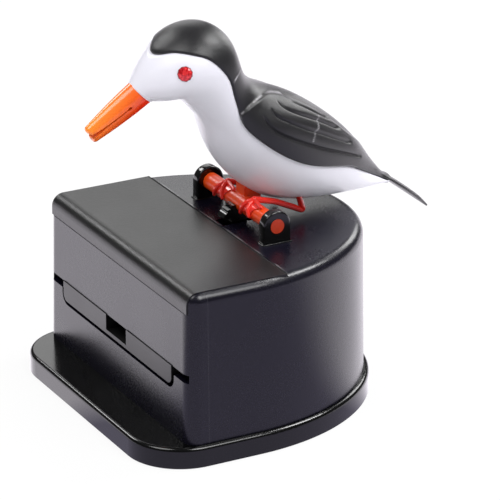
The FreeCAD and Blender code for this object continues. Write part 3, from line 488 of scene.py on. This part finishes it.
def skinNormal(u, t):
    # outward direction: the step along the spine crossed with the step round the ring
    h = birdSet["probe"]
    last = len(birdRings) - 1
    along = skin(np.minimum(u + h, last), t) - skin(np.maximum(u - h, 0), t)
    around = skin(u, t + h) - skin(u, t - h)
    normal = np.cross(along, around)
    return normal / np.linalg.norm(normal, axis=-1, keepdims=True)


def lineDistance(points, line):
    # shortest distance in side view from every point to a line of short straight pieces
    flat = points[..., 1:3].reshape(-1, 2)
    best = np.full(len(flat), 1e9)
    for a, b in zip(line[:-1], line[1:]):
        run = b - a
        share = np.clip((flat - a) @ run / (run @ run), 0, 1)
        best = np.minimum(best, np.hypot(*(flat - a - share[:, None] * run).T))
    return best.reshape(points.shape[:-1])


def inLoop(points, loop):
    # even-odd rule: count the loop's sides that cross a ray towards +y
    y, z = points[..., 1], points[..., 2]
    odd = np.zeros(y.shape, bool)
    for (y0, z0), (y1, z1) in zip(loop, np.roll(loop, -1, axis=0)):
        if z0 != z1:
            odd ^= ((z0 > z) != (z1 > z)) & (y < y0 + (z - z0) * (y1 - y0) / (z1 - z0))
    return odd


def smooth(x):
    # 0 below 0, 1 above 1, and three squares less two cubes between
    x = np.clip(x, 0, 1)
    return x * x * (3 - 2 * x)


capLine = dense(capEdge)
capLoop = np.vstack([capLine, [(60, 120), (-40, 120)]])


def intoCap(points):
    # side-view distance to the cap's edge, positive inside the dark area
    return lineDistance(points, capLine) * np.where(inLoop(points, capLoop), 1, -1)


def closedMesh(name, grid):
    # a grid of points as quads that face outwards; its last column meets the first and both
    # end rows are capped
    rows, columns = grid.shape[:2]
    index = np.arange(rows * columns).reshape(rows, columns)
    across = np.roll(index, -1, axis=1)
    quads = np.stack([index[:-1], index[1:], across[1:], across[:-1]], axis=-1).reshape(-1, 4)
    faces = [index[0].tolist(), index[-1][::-1].tolist()] + quads.tolist()
    return addMesh(name, grid.reshape(-1, 3) * mm, faces)


def addMesh(name, points, faces):
    # points in metres
    mesh = bpy.data.meshes.new(name)
    mesh.from_pydata(points.tolist(), [], faces)
    mesh.validate()
    mesh.shade_smooth()
    item = bpy.data.objects.new(name, mesh)
    bpy.context.scene.collection.objects.link(item)
    return item


def finishPiece(item, body, slotName, replaced=(), material=None):
    # the piece moves with its body and hides the CAD nodes that it stands for
    item.data.materials.append(material or materials[slotName])
    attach(item, body)
    if replaced:
        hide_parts(*replaced)
    return item


def capAngles(s):
    # along the spine, the ring angle at which the dark area ends, found on a fine set of angles
    spine = np.linspace(0, len(birdRings) - 1, s["findRows"])
    angles = np.linspace(np.pi, 0, s["findAngles"])
    u, t = np.meshgrid(spine, angles, indexing="ij")
    inside = intoCap(skin(u, t))
    first = np.argmax(inside <= 0, axis=1)
    rows = np.arange(len(spine))
    before = np.maximum(first - 1, 0)
    a, b = inside[rows, before], inside[rows, first]
    share = np.where(first > 0, a / np.maximum(a - b, 1e-9), 0)
    edge = angles[before] + (angles[first] - angles[before]) * share
    dark = first > 0
    start = np.argmax(dark)
    return spine[start - 1:], np.where(dark, edge, np.pi)[start - 1:]


def relief(points):
    # how far the folded wing stands out: its panel less its grooves, plus the raised ridges that
    # carry the painted highlight.
    # A groove is a narrow bell curve across its line inside a wide shallow one
    s = wingSet
    loop = dense(s["panel"] + s["panel"][:1], s["panelSteps"])
    inside = lineDistance(points, loop) * np.where(inLoop(points, loop), 1, -1)
    out = s["panelRise"] * smooth(inside / s["panelBlend"])
    for groove in s["grooves"]:
        away = lineDistance(points, dense(groove, s["lineSteps"]))
        cut = (s["grooveDepth"] * np.exp(-(away / s["grooveWidth"]) ** 2)
               + s["swellDepth"] * np.exp(-(away / s["swellWidth"]) ** 2))
        # a groove runs out gently at both ends
        ends = [np.linalg.norm(points[..., 1:3] - end, axis=-1) for end in (groove[0], groove[-1])]
        out = out - cut * smooth(np.minimum(*ends) / s["grooveFade"])
    fade = 1 - smooth((points[..., 1] - s["fadeFrom"]) / s["fadeLength"])
    return out * fade + s["ridgeHighlightRise"] * ridgeHighlighted(points)


def ridgeHighlighted(points):
    # 1 on the fine raised lines that carry the painted highlight, falling off beside them
    s = wingSet
    lines = [dense(line, s["lineSteps"]) for line in s["ridgeHighlights"]]
    away = np.min([lineDistance(points, line) for line in lines], axis=0)
    return np.exp(-(away / s["ridgeHighlightWidth"]) ** 2)


def darkBack(s):
    # the skin, lifted by darkOuter, rounded off towards its edge, and closed by an inner skin
    spine, edge = capAngles(s)
    # rows crowd at the forehead, where the edge turns across the head
    share = np.linspace(0, 1, s["rows"])
    head, rest = s["headRows"], s["headShare"]
    near = (share / head) ** 2 * rest
    far = rest + (share - head) / (1 - head) * (1 - rest)
    u = spine[0] + (spine[-1] - spine[0]) * np.where(share < head, near, far)
    half = np.maximum(np.pi - np.interp(u, spine, edge), s["least"])

    def across(columns):
        # a row runs from edge to edge over the back; its points crowd towards both edges
        even = np.linspace(-1, 1, columns)
        b = even + (np.sin(even * np.pi / 2) - even) * s["edgeCrowd"]
        uu = np.repeat(u[:, None], columns, axis=1)
        tt = np.pi + b[None, :] * half[:, None]
        return skin(uu, tt), skinNormal(uu, tt)

    base, normal = across(s["columns"])
    rim = np.maximum(1 - np.maximum(intoCap(base), 0) / s["rimRound"], 0)
    drop = s["rimRound"] * (1 - np.sqrt(1 - rim ** 2)) * s["rimDrop"]
    thin = smooth((u - s["thinFrom"]) / s["thinLength"])[:, None]
    lift = (s["darkOuter"] - drop) * (1 - thin) + relief(base) * smooth(1 - rim)
    outer = base + normal * lift[..., None]
    under, underNormal = across(s["innerColumns"])
    inner = under + underNormal * s["darkInner"]
    item = closedMesh("birdCapAndBack", np.concatenate([outer, inner[:, ::-1]], axis=1))
    # how much painted highlight each point of the outer skin gets; none on the inner skin
    paintedHighlight = np.concatenate([ridgeHighlighted(base), np.zeros(under.shape[:2])], axis=1)
    item.data.attributes.new("ridgeHighlight", "FLOAT", "POINT").data.foreach_set("value", paintedHighlight.ravel())
    return item


def paleBody(s):
    # the skin, sunk by paleUnder below the dark shell, with a dome over the first and last ring
    u = np.linspace(0, len(birdRings) - 1, s["paleRows"])
    t = np.linspace(0, 2 * np.pi, s["paleColumns"], endpoint=False)
    uu, tt = np.meshgrid(u, t, indexing="ij")
    base, normal = skin(uu, tt), skinNormal(uu, tt)
    sink = smooth((intoCap(base) + s["seam"] + s["step"] / 2) / s["step"])
    grid = base + normal * (s["paleUnder"] * sink)[..., None]
    turns = np.linspace(0, np.pi / 2, s["domeRows"] + 1)[1:, None, None]
    domes = []
    for ring, way in ((grid[0], -1), (grid[-1], 1)):
        middle = ring.mean(axis=0)
        axis = np.cross(ring[0] - middle, ring[len(ring) // 4] - middle)
        axis *= np.sign(axis[1]) * way / np.linalg.norm(axis)
        keep = np.maximum(np.cos(turns), s["least"])
        domes.append(middle + (ring - middle) * keep + axis * s["dome"] * np.sin(turns))
    return closedMesh("birdBody", np.concatenate([domes[0][::-1], grid, domes[1]]))


finishPiece(paleBody(birdSet), "bird", "bird_white", ["bird_belly"])
finishPiece(darkBack(birdSet), "bird", "bird_black", ["bird_back"])
print("bird shells made")


# bill: a full base that parts into an upper and a lower jaw, gripping what lies along X

beakSet = {"base": (-19.6, 77.8), "tip": (-33.0, 69.2), "rootShare": -0.14, "split": 0.27,
           "bodyEnd": 0.94, "firstShare": -0.2, "shareStep": 0.4,
           "halfWidths": [3.05, 2.90, 2.40, 1.65], "halfHeights": [3.45, 3.28, 2.86, 2.18],
           "gapShares": [0.27, 0.285, 0.31, 0.36, 0.75, 0.94],
           "gaps": [0.0, 0.55, 0.62, 0.26, 0.32, 1.10],
           "tipRound": 0.95, "columns": 72, "rows": 60, "baseRows": 24, "flatPoints": 24,
           "tipRows": 9}


def beakPoint(s, share, x, height):
    # share runs along the bill's middle line, height stands square to it in side view
    base, tip = np.array(s["base"]), np.array(s["tip"])
    along = (tip - base) / np.linalg.norm(tip - base)
    up = np.array([along[1], -along[0]])
    side = base + (tip - base) * share[..., None] + up * height[..., None]
    return np.concatenate([x[..., None], side], axis=-1)


def beakSizes(s, share):
    # half width and half height, by a smooth line through the sizes at even shares
    at = (share - s["firstShare"]) / s["shareStep"]
    sizes = naturalSpline(np.array([s["halfWidths"], s["halfHeights"]]).T, at)
    return sizes[..., 0], sizes[..., 1]


def beakBase(s):
    # ellipses from the head to the split, with twice as many steps as a jaw has, so that the
    # rings meet the jaws point to point
    share = np.linspace(s["rootShare"], s["split"], s["baseRows"])
    columns = 2 * (s["columns"] - 1)
    turn = np.linspace(0, 2 * np.pi, columns, endpoint=False)
    wide, high = (v[:, None] for v in beakSizes(s, share))
    flat = np.broadcast_to(share[:, None], (len(share), columns))
    return beakPoint(s, flat, wide * np.cos(turn), high * np.sin(turn))


def jaw(s, sign):
    # a half ellipse with its flat towards the slit; the last rows shrink to a round end
    body = np.linspace(s["split"], s["bodyEnd"], s["rows"])
    wide, high = (v[:, None] for v in beakSizes(s, body))
    low = np.interp(body, s["gapShares"], s["gaps"])[:, None] / 2
    turn = np.linspace(0, np.pi, s["columns"])
    flat = np.sin(np.linspace(-np.pi / 2, np.pi / 2, s["flatPoints"])[1:-1])
    x = np.concatenate([wide * np.cos(turn), wide * flat], axis=1)
    floor = np.broadcast_to(low, (len(body), len(flat)))
    height = np.concatenate([np.maximum(high * np.sin(turn), low), floor], axis=1)
    a = np.linspace(0, np.pi / 2, s["tipRows"])[1:, None]
    middle = (height[-1].max() + low[-1]) / 2
    tip = middle + (height[-1] - middle) * np.cos(a)
    run = s["bodyEnd"] + s["tipRound"] * np.sin(a) / math.dist(s["base"], s["tip"])
    x = np.vstack([x, x[-1] * np.cos(a)])
    share = np.broadcast_to(np.vstack([body[:, None], run]), x.shape)
    grid = beakPoint(s, share, x, np.vstack([height, tip]) * sign)
    return grid if sign > 0 else grid[:, ::-1]


def volume(points, faces):
    # signed volume: a sixth of the sum of each face's middle times its doubled area
    total = 0.0
    for face in faces:
        ring = points[face]
        fan = np.cross(ring[1:-1] - ring[0], ring[2:] - ring[0]).sum(axis=0)
        total += ring.mean(axis=0) @ fan
    return total / 6


def outward(points, faces):
    # all faces turned over, where their volume comes out negative
    return faces if volume(points, faces) > 0 else [face[::-1] for face in faces]


def addShells(name, grids, opened=()):
    # tubes as one object, faces outward; the opened ones have no cap at the given row, where
    # their rings meet point to point and are joined
    points, faces = np.vstack([grid.reshape(-1, 3) for grid in grids]), []
    start = 0
    for order, grid in enumerate(grids):
        rows, columns = grid.shape[:2]
        index = np.arange(rows * columns).reshape(rows, columns) + start
        across = np.roll(index, -1, axis=1)
        quads = np.stack([index[:-1], across[:-1], across[1:], index[1:]], axis=-1)
        shell = [index[0][::-1].tolist(), index[-1].tolist()] + quads.reshape(-1, 4).tolist()
        shell = outward(points, shell)
        if order < len(opened):
            shell.pop(opened[order])
        faces += shell
        start += rows * columns
    merged, where = np.unique(np.round(points, 4), axis=0, return_inverse=True)
    faces = [list(dict.fromkeys(where.ravel()[face].tolist())) for face in faces]
    item = addMesh(name, merged * mm, [face for face in faces if len(face) > 2])
    # flat end caps keep the walls beside them smooth
    corners = np.zeros(len(item.data.polygons), int)
    item.data.polygons.foreach_get("loop_total", corners)
    item.data.polygons.foreach_set("use_smooth", corners < 5)
    return item


# eyes: domed beads cut into flat facets
eyeSet = {"centre": (9.15, -12.95, 83.7), "toeIn": 26.0, "tilt": 11.5, "radius": 1.8,
          "bulge": 0.6, "sink": 1.0, "taper": 0.98, "sides": 11, "ringAngles": [78, 52, 26, 0]}


def eyeBead(s, side):
    # rings from near the pole down to the rim, each half a facet on from the last
    n = s["sides"]
    rings = []
    for i, angle in enumerate(s["ringAngles"]):
        turn = (np.arange(n) + 0.5 * (i % 2)) * 2 * np.pi / n
        rise, reach = math.sin(math.radians(angle)), s["radius"] * math.cos(math.radians(angle))
        rings.append(np.stack([np.full(n, s["bulge"] * rise), reach * np.cos(turn),
                               reach * np.sin(turn)], axis=-1))
    rings.append(rings[-1] * (1, s["taper"], s["taper"]) - (s["sink"], 0, 0))
    # tilted up about y, then turned forward about z
    x, y, z = np.vstack(rings).T
    toe, tilt = math.radians(s["toeIn"]), math.radians(s["tilt"])
    x, z = x * math.cos(tilt) - z * math.sin(tilt), z * math.cos(tilt) + x * math.sin(tilt)
    x, y = x * math.cos(toe) + y * math.sin(toe), y * math.cos(toe) - x * math.sin(toe)
    points = (np.stack([x, y, z], axis=-1) + s["centre"]) * (side, 1, 1)
    index = np.arange(len(points)).reshape(-1, n)
    after = np.roll(index, -1, axis=1)
    faces = [index[0].tolist(), index[-1][::-1].tolist()]
    for row in range(len(rings) - 1):
        a, b, c, d = index[row], after[row], index[row + 1], after[row + 1]
        if row == len(rings) - 2:
            cuts = [(a, c, d, b)]
        elif row % 2:
            cuts = [(a, d, b), (a, c, d)]
        else:
            cuts = [(a, c, b), (c, d, b)]
        for cut in cuts:
            faces += np.stack(cut, axis=-1).tolist()
    bead = addMesh("eyeLeft" if side < 0 else "eyeRight", points * mm, outward(points, faces))
    bead.data.shade_flat()
    return bead


# tail: a flat tapering blade that carries on from the rump
tailSet = {"root": (42.2, 47.4), "tip": (57.0, 35.9), "shares": [0, 0.25, 0.5, 0.8, 1.0],
           "halfWidths": [3.2, 3.3, 2.9, 1.6, 0.35], "tops": [0.55, 0.85, 0.95, 0.72, 0.05],
           "under": -0.45, "columns": 48, "rows": 60}


def tailBlade(s):
    # flat ellipses from the rump to the tip; width and top follow smooth lines along the blade
    share = np.linspace(0, 1, s["rows"])
    turn = np.linspace(0, 2 * np.pi, s["columns"], endpoint=False)
    root, tip = np.array(s["root"]), np.array(s["tip"])
    along = (tip - root) / np.linalg.norm(tip - root)
    up = np.array([-along[1], along[0]])
    stops = np.interp(share, s["shares"], range(len(s["shares"])))
    wide, top = naturalSpline(np.array([s["halfWidths"], s["tops"]]).T, stops).T[..., None]
    x = wide * np.cos(turn)
    lift = (top + s["under"]) / 2 + (top - s["under"]) / 2 * np.sin(turn)
    side = (root + (tip - root) * share[:, None])[:, None, :] + up * lift[..., None]
    return np.concatenate([x[..., None], side], axis=-1)


# clear orange with painted light and shade: redder at the root, where the head shades it, darker
# lower down, lighter higher up, and yellower towards the tip
billSet = {"root": rgb(0.72, 0.020, 0.003), "tip": rgb(0.98, 0.30, 0.030), "start": 0.10,
           "along": 0.60, "above": 0.34, "halfHeight": 3.0, "cloudScale": 260,
           "cloudColor": 0.25, "cloudRough": 0.06}


def billPlastic(name, s, tint, form):
    # tone = start + share of the length * along + share of the half height * above
    g = Graph(name)
    base = np.array(form["base"]) * mm
    run = np.array(form["tip"]) * mm - base
    length = np.linalg.norm(run)
    ahead, rise = run / length
    y, z = g.axis(1) - base[0], g.axis(2) - base[1]
    fromRoot = (y * ahead + z * rise) / length
    # painted light and shade: higher up the bill the tone moves to the lighter tip colour, lower
    # down to the darker root colour
    above = (y * rise - z * ahead) / (tint["halfHeight"] * mm)
    tone = (fromRoot * tint["along"] + above * tint["above"] + tint["start"]).clamped()
    cloud = g.noise(tint["cloudScale"], detail=3.0)
    shade = g.mix(cloud * tint["cloudColor"], g.mix(tone, tint["root"], tint["tip"]), s["dark"])
    return g.surface(Base_Color=shade, Roughness=s["rough"] + (cloud - 0.5) * tint["cloudRough"],
                     Coat_Weight=s["coat"], Coat_Roughness=waverSet["coatRough"])


# cut red bead: painted facet reflections in patches, and painted shade beyond edgeFrom millimetres
# from its middle, round its rim
beadSet = {"edge": rgb(0.16, 0.004, 0.010), "edgeFrom": 1.42, "edgeBlend": 0.30,
           "patchScale": 1500, "patchContrast": 4.0, "patchCut": 1.5}


def beadPlastic(name, s, tint, form):
    # reach is the distance from the bead's middle, on either side of the head
    g = Graph(name)
    cx, cy, cz = (v * mm for v in form["centre"])
    x, y, z = abs(g.axis(0)) - cx, g.axis(1) - cy, g.axis(2) - cz
    reach = (x * x + y * y + z * z) ** 0.5
    # painted shade towards the rim, and painted reflections in patches over the facets
    edge = ((reach - tint["edgeFrom"] * mm) / (tint["edgeBlend"] * mm)).clamped()
    patch = (g.noise(tint["patchScale"]) * tint["patchContrast"] - tint["patchCut"]).clamped()
    shade = g.mix(edge, g.mix(patch, s["dark"], s["light"]), tint["edge"])
    return g.surface(Base_Color=shade, Roughness=s["rough"], Coat_Weight=s["coat"])


finishPiece(addShells("bill", [beakBase(beakSet), jaw(beakSet, 1), jaw(beakSet, -1)], (1, 0, 0)),
            "bird", "orange", ["beak"],
            billPlastic("bill", plasticSet["orange"], billSet, beakSet))
beadRed = beadPlastic("bead", plasticSet["eye_red"], beadSet, eyeSet)
for side, cadName in ((-1, "eye_left"), (1, "eye_right")):
    finishPiece(eyeBead(eyeSet, side), "bird", "eye_red", [cadName], beadRed)
finishPiece(addShells("tailBlade", [tailBlade(tailSet)]), "bird", "bird_black", ["tail_blade"])
print("bill, eyes and tail made")


# brackets: round-topped lugs with rounded rims, on a narrower foot through the deck
bracketSet = {"half": 3.6, "footHalf": 2.6, "footDrop": 2.2, "bore": 1.81, "axle": (6.2, 46.0),
              "rim": 0.5, "rimSteps": 7, "arcPoints": 48, "edgePoints": 6,
              "flange": 0.32, "flangeHigh": 0.28, "flangeRound": 0.12, "flangeBreak": 0.3,
              "flangeCorner": 0.5, "flangePoints": 48, "flangeStretch": 20}


def bracketOutline(s, deck):
    # the side view from the foot's front corner up round the arch and back, in even small steps
    half, foot, under = s["half"], s["footHalf"], deck - s["footDrop"]
    y, z = s["axle"]
    corners = np.array([(-foot, under), (-foot, deck), (-half, deck), (-half, z)])
    share = np.linspace(0, 1, s["edgePoints"], endpoint=False)[:, None]
    front = np.vstack([a + (b - a) * share for a, b in zip(corners[:-1], corners[1:])])
    turn = np.linspace(np.pi, 0, s["arcPoints"])
    arch = np.stack([half * np.cos(turn), z + half * np.sin(turn)], axis=-1)
    base = np.linspace((foot, under), (-foot, under), s["edgePoints"] * 2)[1:-1]
    return np.vstack([front, arch, front[::-1] * (-1, 1), base]) + (y, 0)


def bracket(s, name):
    # rows run from the bore out to the rim, across to the far side and back to the bore; the
    # rim is a quarter circle, which only rounds above the deck, where it shows
    low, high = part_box(name)
    near, far = low[0] / mm, high[0] / mm
    deck = low[2] / mm + s["footDrop"]
    outline = bracketOutline(s, deck)
    middle = np.array(s["axle"])
    out = outline - middle
    out /= np.linalg.norm(out, axis=1, keepdims=True)
    ring = middle + out * s["bore"]
    above = np.clip((outline[:, 1:2] - deck) / s["rim"], 0, 1)
    turns = np.linspace(0, np.pi / 2, s["rimSteps"])
    rim = [outline - out * above * s["rim"] * (1 - math.sin(a)) for a in turns]
    depth = s["rim"] * (1 - np.cos(turns))
    flat = np.stack([ring] + rim + rim[::-1] + [ring], axis=1)
    x = np.concatenate([[near], near + depth, far - depth[::-1], [far]])
    x = np.broadcast_to(x[:, None], flat.shape[:2] + (1,))
    grid = np.concatenate([x, flat], axis=-1)
    count, columns = grid.shape[:2]
    index = np.arange(count * columns).reshape(count, columns)
    nextRow, nextColumn = np.roll(index, -1, axis=0), np.roll(index, -1, axis=1)
    both = np.roll(nextRow, -1, axis=1)
    faces = np.stack([index, nextRow, both, nextColumn], axis=-1).reshape(-1, 4).tolist()
    points = grid.reshape(-1, 3)
    lug = addMesh(name + "Lug", points * mm, outward(points, faces))
    # the two sides and the bore are flat or sharp-edged, only the rims are smooth
    column = np.arange(len(faces)) % columns
    rounded = ~np.isin(column, (0, columns - 2, columns - 1))
    lug.data.polygons.foreach_set("use_smooth", rounded)
    return lug


def bracketFlange(s, name):
    # thin moulded edge round the lug's foot: a rounded rectangle with a broken top edge. A
    # stretched circle, clipped to the straight sides, plus a small circle for the corners
    low, high = (v / mm for v in np.array(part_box(name)))
    deck = low[2] + s["footDrop"]
    middle = np.array([(low[0] + high[0]) / 2, s["axle"][0]])
    half = np.array([(high[0] - low[0]) / 2, s["half"]]) + s["flange"]
    turn = (np.arange(s["flangePoints"]) + 0.5) * 2 * np.pi / s["flangePoints"]
    circle = np.stack([np.cos(turn), np.sin(turn)], axis=-1)
    corner, straight = s["flangeCorner"], half - s["flangeCorner"]
    out = np.clip(circle * s["flangeStretch"], -straight, straight) + corner * circle
    top, soft = s["flangeHigh"], s["flangeRound"]
    part = s["flangeBreak"] * soft
    rows = []
    for inset, rise in ((0, 0), (0, top - soft), (part, top - part), (soft, top)):
        z = np.full((len(out), 1), deck + rise)
        rows.append(np.concatenate([middle + out * (1 - inset / half), z], axis=1))
    return addShells(name + "Foot", [np.stack(rows)])


for name in ("bracket_left", "bracket_right"):
    finishPiece(bracket(bracketSet, name), "base", "gloss_black", [name])
    finishPiece(bracketFlange(bracketSet, name), "base", "gloss_black")
print("brackets made")


# legs: a bent round shank, and three toes with a scalloped web that laps over the perch
legSet = {"x": 6.6, "perch": 2.1, "shank": 0.75, "knee": 0.9,
          "route": [(11.7, 47.3), (19.2, 43.7), (17.7, 48.5)],
          "toes": [(-2.3, 108.0), (2.0, 96.0), (4.5, 16.0)], "toeRadii": (0.60, 0.44),
          "toePoints": 16, "webLift": (0.06, 0.42), "webTip": 0.14, "webFrom": 0.12,
          "scallop": 0.10, "webEdge": 0.02, "webColumns": 26, "webRows": 14, "sides": 20,
          "domeAngles": [20, 40, 60, 80], "kneeSteps": 8}


def onPerch(s, x, angle, lift):
    # a point lifted off the perch, at an angle in degrees forward from its top
    y, z = bracketSet["axle"]
    turn = np.radians(angle)
    reach = s["perch"] + lift
    spot = np.broadcast_arrays(x, y - reach * np.sin(turn), z + reach * np.cos(turn))
    return np.stack(spot, axis=-1)


def tube(line, radii, guide, s):
    # rings square to the line, started from the guide direction; both ends are half balls
    along = np.gradient(line, axis=0)
    along /= np.linalg.norm(along, axis=1, keepdims=True)
    first = guide - (guide * along).sum(axis=1, keepdims=True) * along
    first /= np.linalg.norm(first, axis=1, keepdims=True)
    second = np.cross(along, first)
    turn = np.linspace(0, 2 * np.pi, s["sides"], endpoint=False)[:, None]
    dome = np.array(s["domeAngles"])
    lean = np.radians(np.concatenate([-dome[::-1], np.zeros(len(line)), dome]))[:, None, None]
    at = np.clip(np.arange(len(lean)) - len(dome), 0, len(line) - 1)
    line, along, first, second = (v[at][:, None, :] for v in (line, along, first, second))
    radius = radii[at][:, None, None]
    ring = first * np.cos(turn) + second * np.sin(turn)
    return line + radius * (along * np.sin(lean) + ring * np.cos(lean))


def bentLine(points, bend, steps):
    # straight runs whose corners are quadratic curves that start a bend's length away
    points = np.array(points, float)
    f = np.linspace(0, 1, steps)[:, None]
    line = [points[:1]]
    for before, corner, after in zip(points[:-2], points[1:-1], points[2:]):
        start = corner + (before - corner) / np.linalg.norm(before - corner) * bend
        end = corner + (after - corner) / np.linalg.norm(after - corner) * bend
        line.append(start * (1 - f) ** 2 + corner * 2 * f * (1 - f) + end * f ** 2)
    return np.vstack(line + [points[-1:]])


def leg(s, side):
    # the shank bends up from the perch; a toe goes over the perch, out and round in even steps,
    # and gets thinner evenly
    x = side * s["x"]
    ankle = onPerch(s, x, 0, s["shank"])
    line = bentLine([ankle] + [(x, y, z) for y, z in s["route"]], s["knee"], s["kneeSteps"])
    across = np.broadcast_to((1.0, 0, 0), line.shape)
    grids = [tube(line, np.full(len(line), s["shank"]), across, s)]
    share = np.linspace(0, 1, s["toePoints"])
    thick, thin = s["toeRadii"]
    radii = thick + (thin - thick) * share
    for spread, wrap in s["toes"]:
        toe = onPerch(s, x + spread * share, wrap * share, radii)
        guide = onPerch(s, x + spread * share, wrap * share, radii + 1) - toe
        grids.append(tube(toe, radii, guide, s))
    for near, far in zip(s["toes"][:-1], s["toes"][1:]):
        grids.append(web(s, x, np.array(near), np.array(far)))
    return addShells("legLeft" if side < 0 else "legRight", grids)


def web(s, x, near, far):
    # between two toes: out along the top of the web and back along its underside. Its end is
    # scooped by a sine, and its top falls with the square of the way out
    low, high = s["webLift"]
    f = np.linspace(s["webEdge"], 1 - s["webEdge"], s["webColumns"])
    spread, wrap = (near + (far - near) * f[:, None]).T[..., None]
    a = np.linspace(s["webFrom"], 1 - s["scallop"] * np.sin(np.pi * f), s["webRows"], axis=1)
    lift = high + (low + s["webTip"] - high) * a ** 2
    over = onPerch(s, x + spread * a, wrap * a, lift)
    under = onPerch(s, x + spread * a, wrap * a, low)
    return np.concatenate([over, under[:, ::-1]], axis=1)


# clear orange rod, redder in patches near where the feet stand on it, with the end faces painted
# darker, a painted shade of the brackets' holes
perchSet = {"footRed": rgb(0.80, 0.030, 0.006), "footRedFull": 1.15, "footRedReach": 7.0,
            "footRedLeast": 0.35, "patchScale": 420, "patchContrast": 2.4, "patchCut": 0.7,
            "cap": rgb(0.42, 0.024, 0.004), "capFrom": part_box("perch_axle")[1][0] - 0.0002,
            "capBlend": 0.000125, "capLeast": 0.65, "capPatch": 0.3,
            "rough": 0.30, "patchRough": 0.12, "coat": 0.1}


def perchPlastic(name, s, tint, footX):
    # the red falls off evenly with the distance from a foot, and is stronger in patches
    g = Graph(name)
    out = abs(g.axis(0))
    near = (tint["footRedFull"] - abs((out - footX * mm) / (tint["footRedReach"] * mm))).clamped()
    patch = g.noise(tint["patchScale"], detail=3.0) * tint["patchContrast"] - tint["patchCut"]
    patch = patch.clamped()
    footReddened = near * (tint["footRedLeast"] + patch * (1 - tint["footRedLeast"]))
    shade = g.mix(footReddened, s["light"], tint["footRed"])
    # painted shade: the end faces, in the brackets' holes, go darker
    end = ((out - tint["capFrom"]) / tint["capBlend"]).clamped()
    shade = g.mix(end * (tint["capLeast"] + patch * tint["capPatch"]), shade, tint["cap"])
    return g.surface(Base_Color=shade, Roughness=tint["rough"] + patch * tint["patchRough"],
                     Coat_Weight=tint["coat"])


# clear red: the shank behind the perch is painted a deeper red than the foot, a painted shade;
# both measures are in metres
shankShadeSet = {"color": rgb(0.40, 0.010, 0.006), "from": 0.0085, "length": 0.006, "cloudScale": 300}


def legPlastic(name, s, tint):
    # cloudy from dark to light, then over to the shank's painted shade with y
    g = Graph(name)
    back = ((g.axis(1) - tint["from"]) / tint["length"]).clamped()
    foot = g.mix(g.noise(tint["cloudScale"]), s["dark"], s["light"])
    shade = g.mix(back, foot, tint["color"])
    return g.surface(Base_Color=shade, Roughness=s["rough"], Coat_Weight=s["coat"])


legMaterial = legPlastic("legs", plasticSet["red"], shankShadeSet)
for side, cadName in ((-1, "leg_left"), (1, "leg_right")):
    finishPiece(leg(legSet, side), "bird", "red", [cadName], legMaterial)
orange = plasticSet["orange"]
nodes["perch_axle"].data.materials[0] = perchPlastic("perch", orange, perchSet, legSet["x"])
print("legs made")
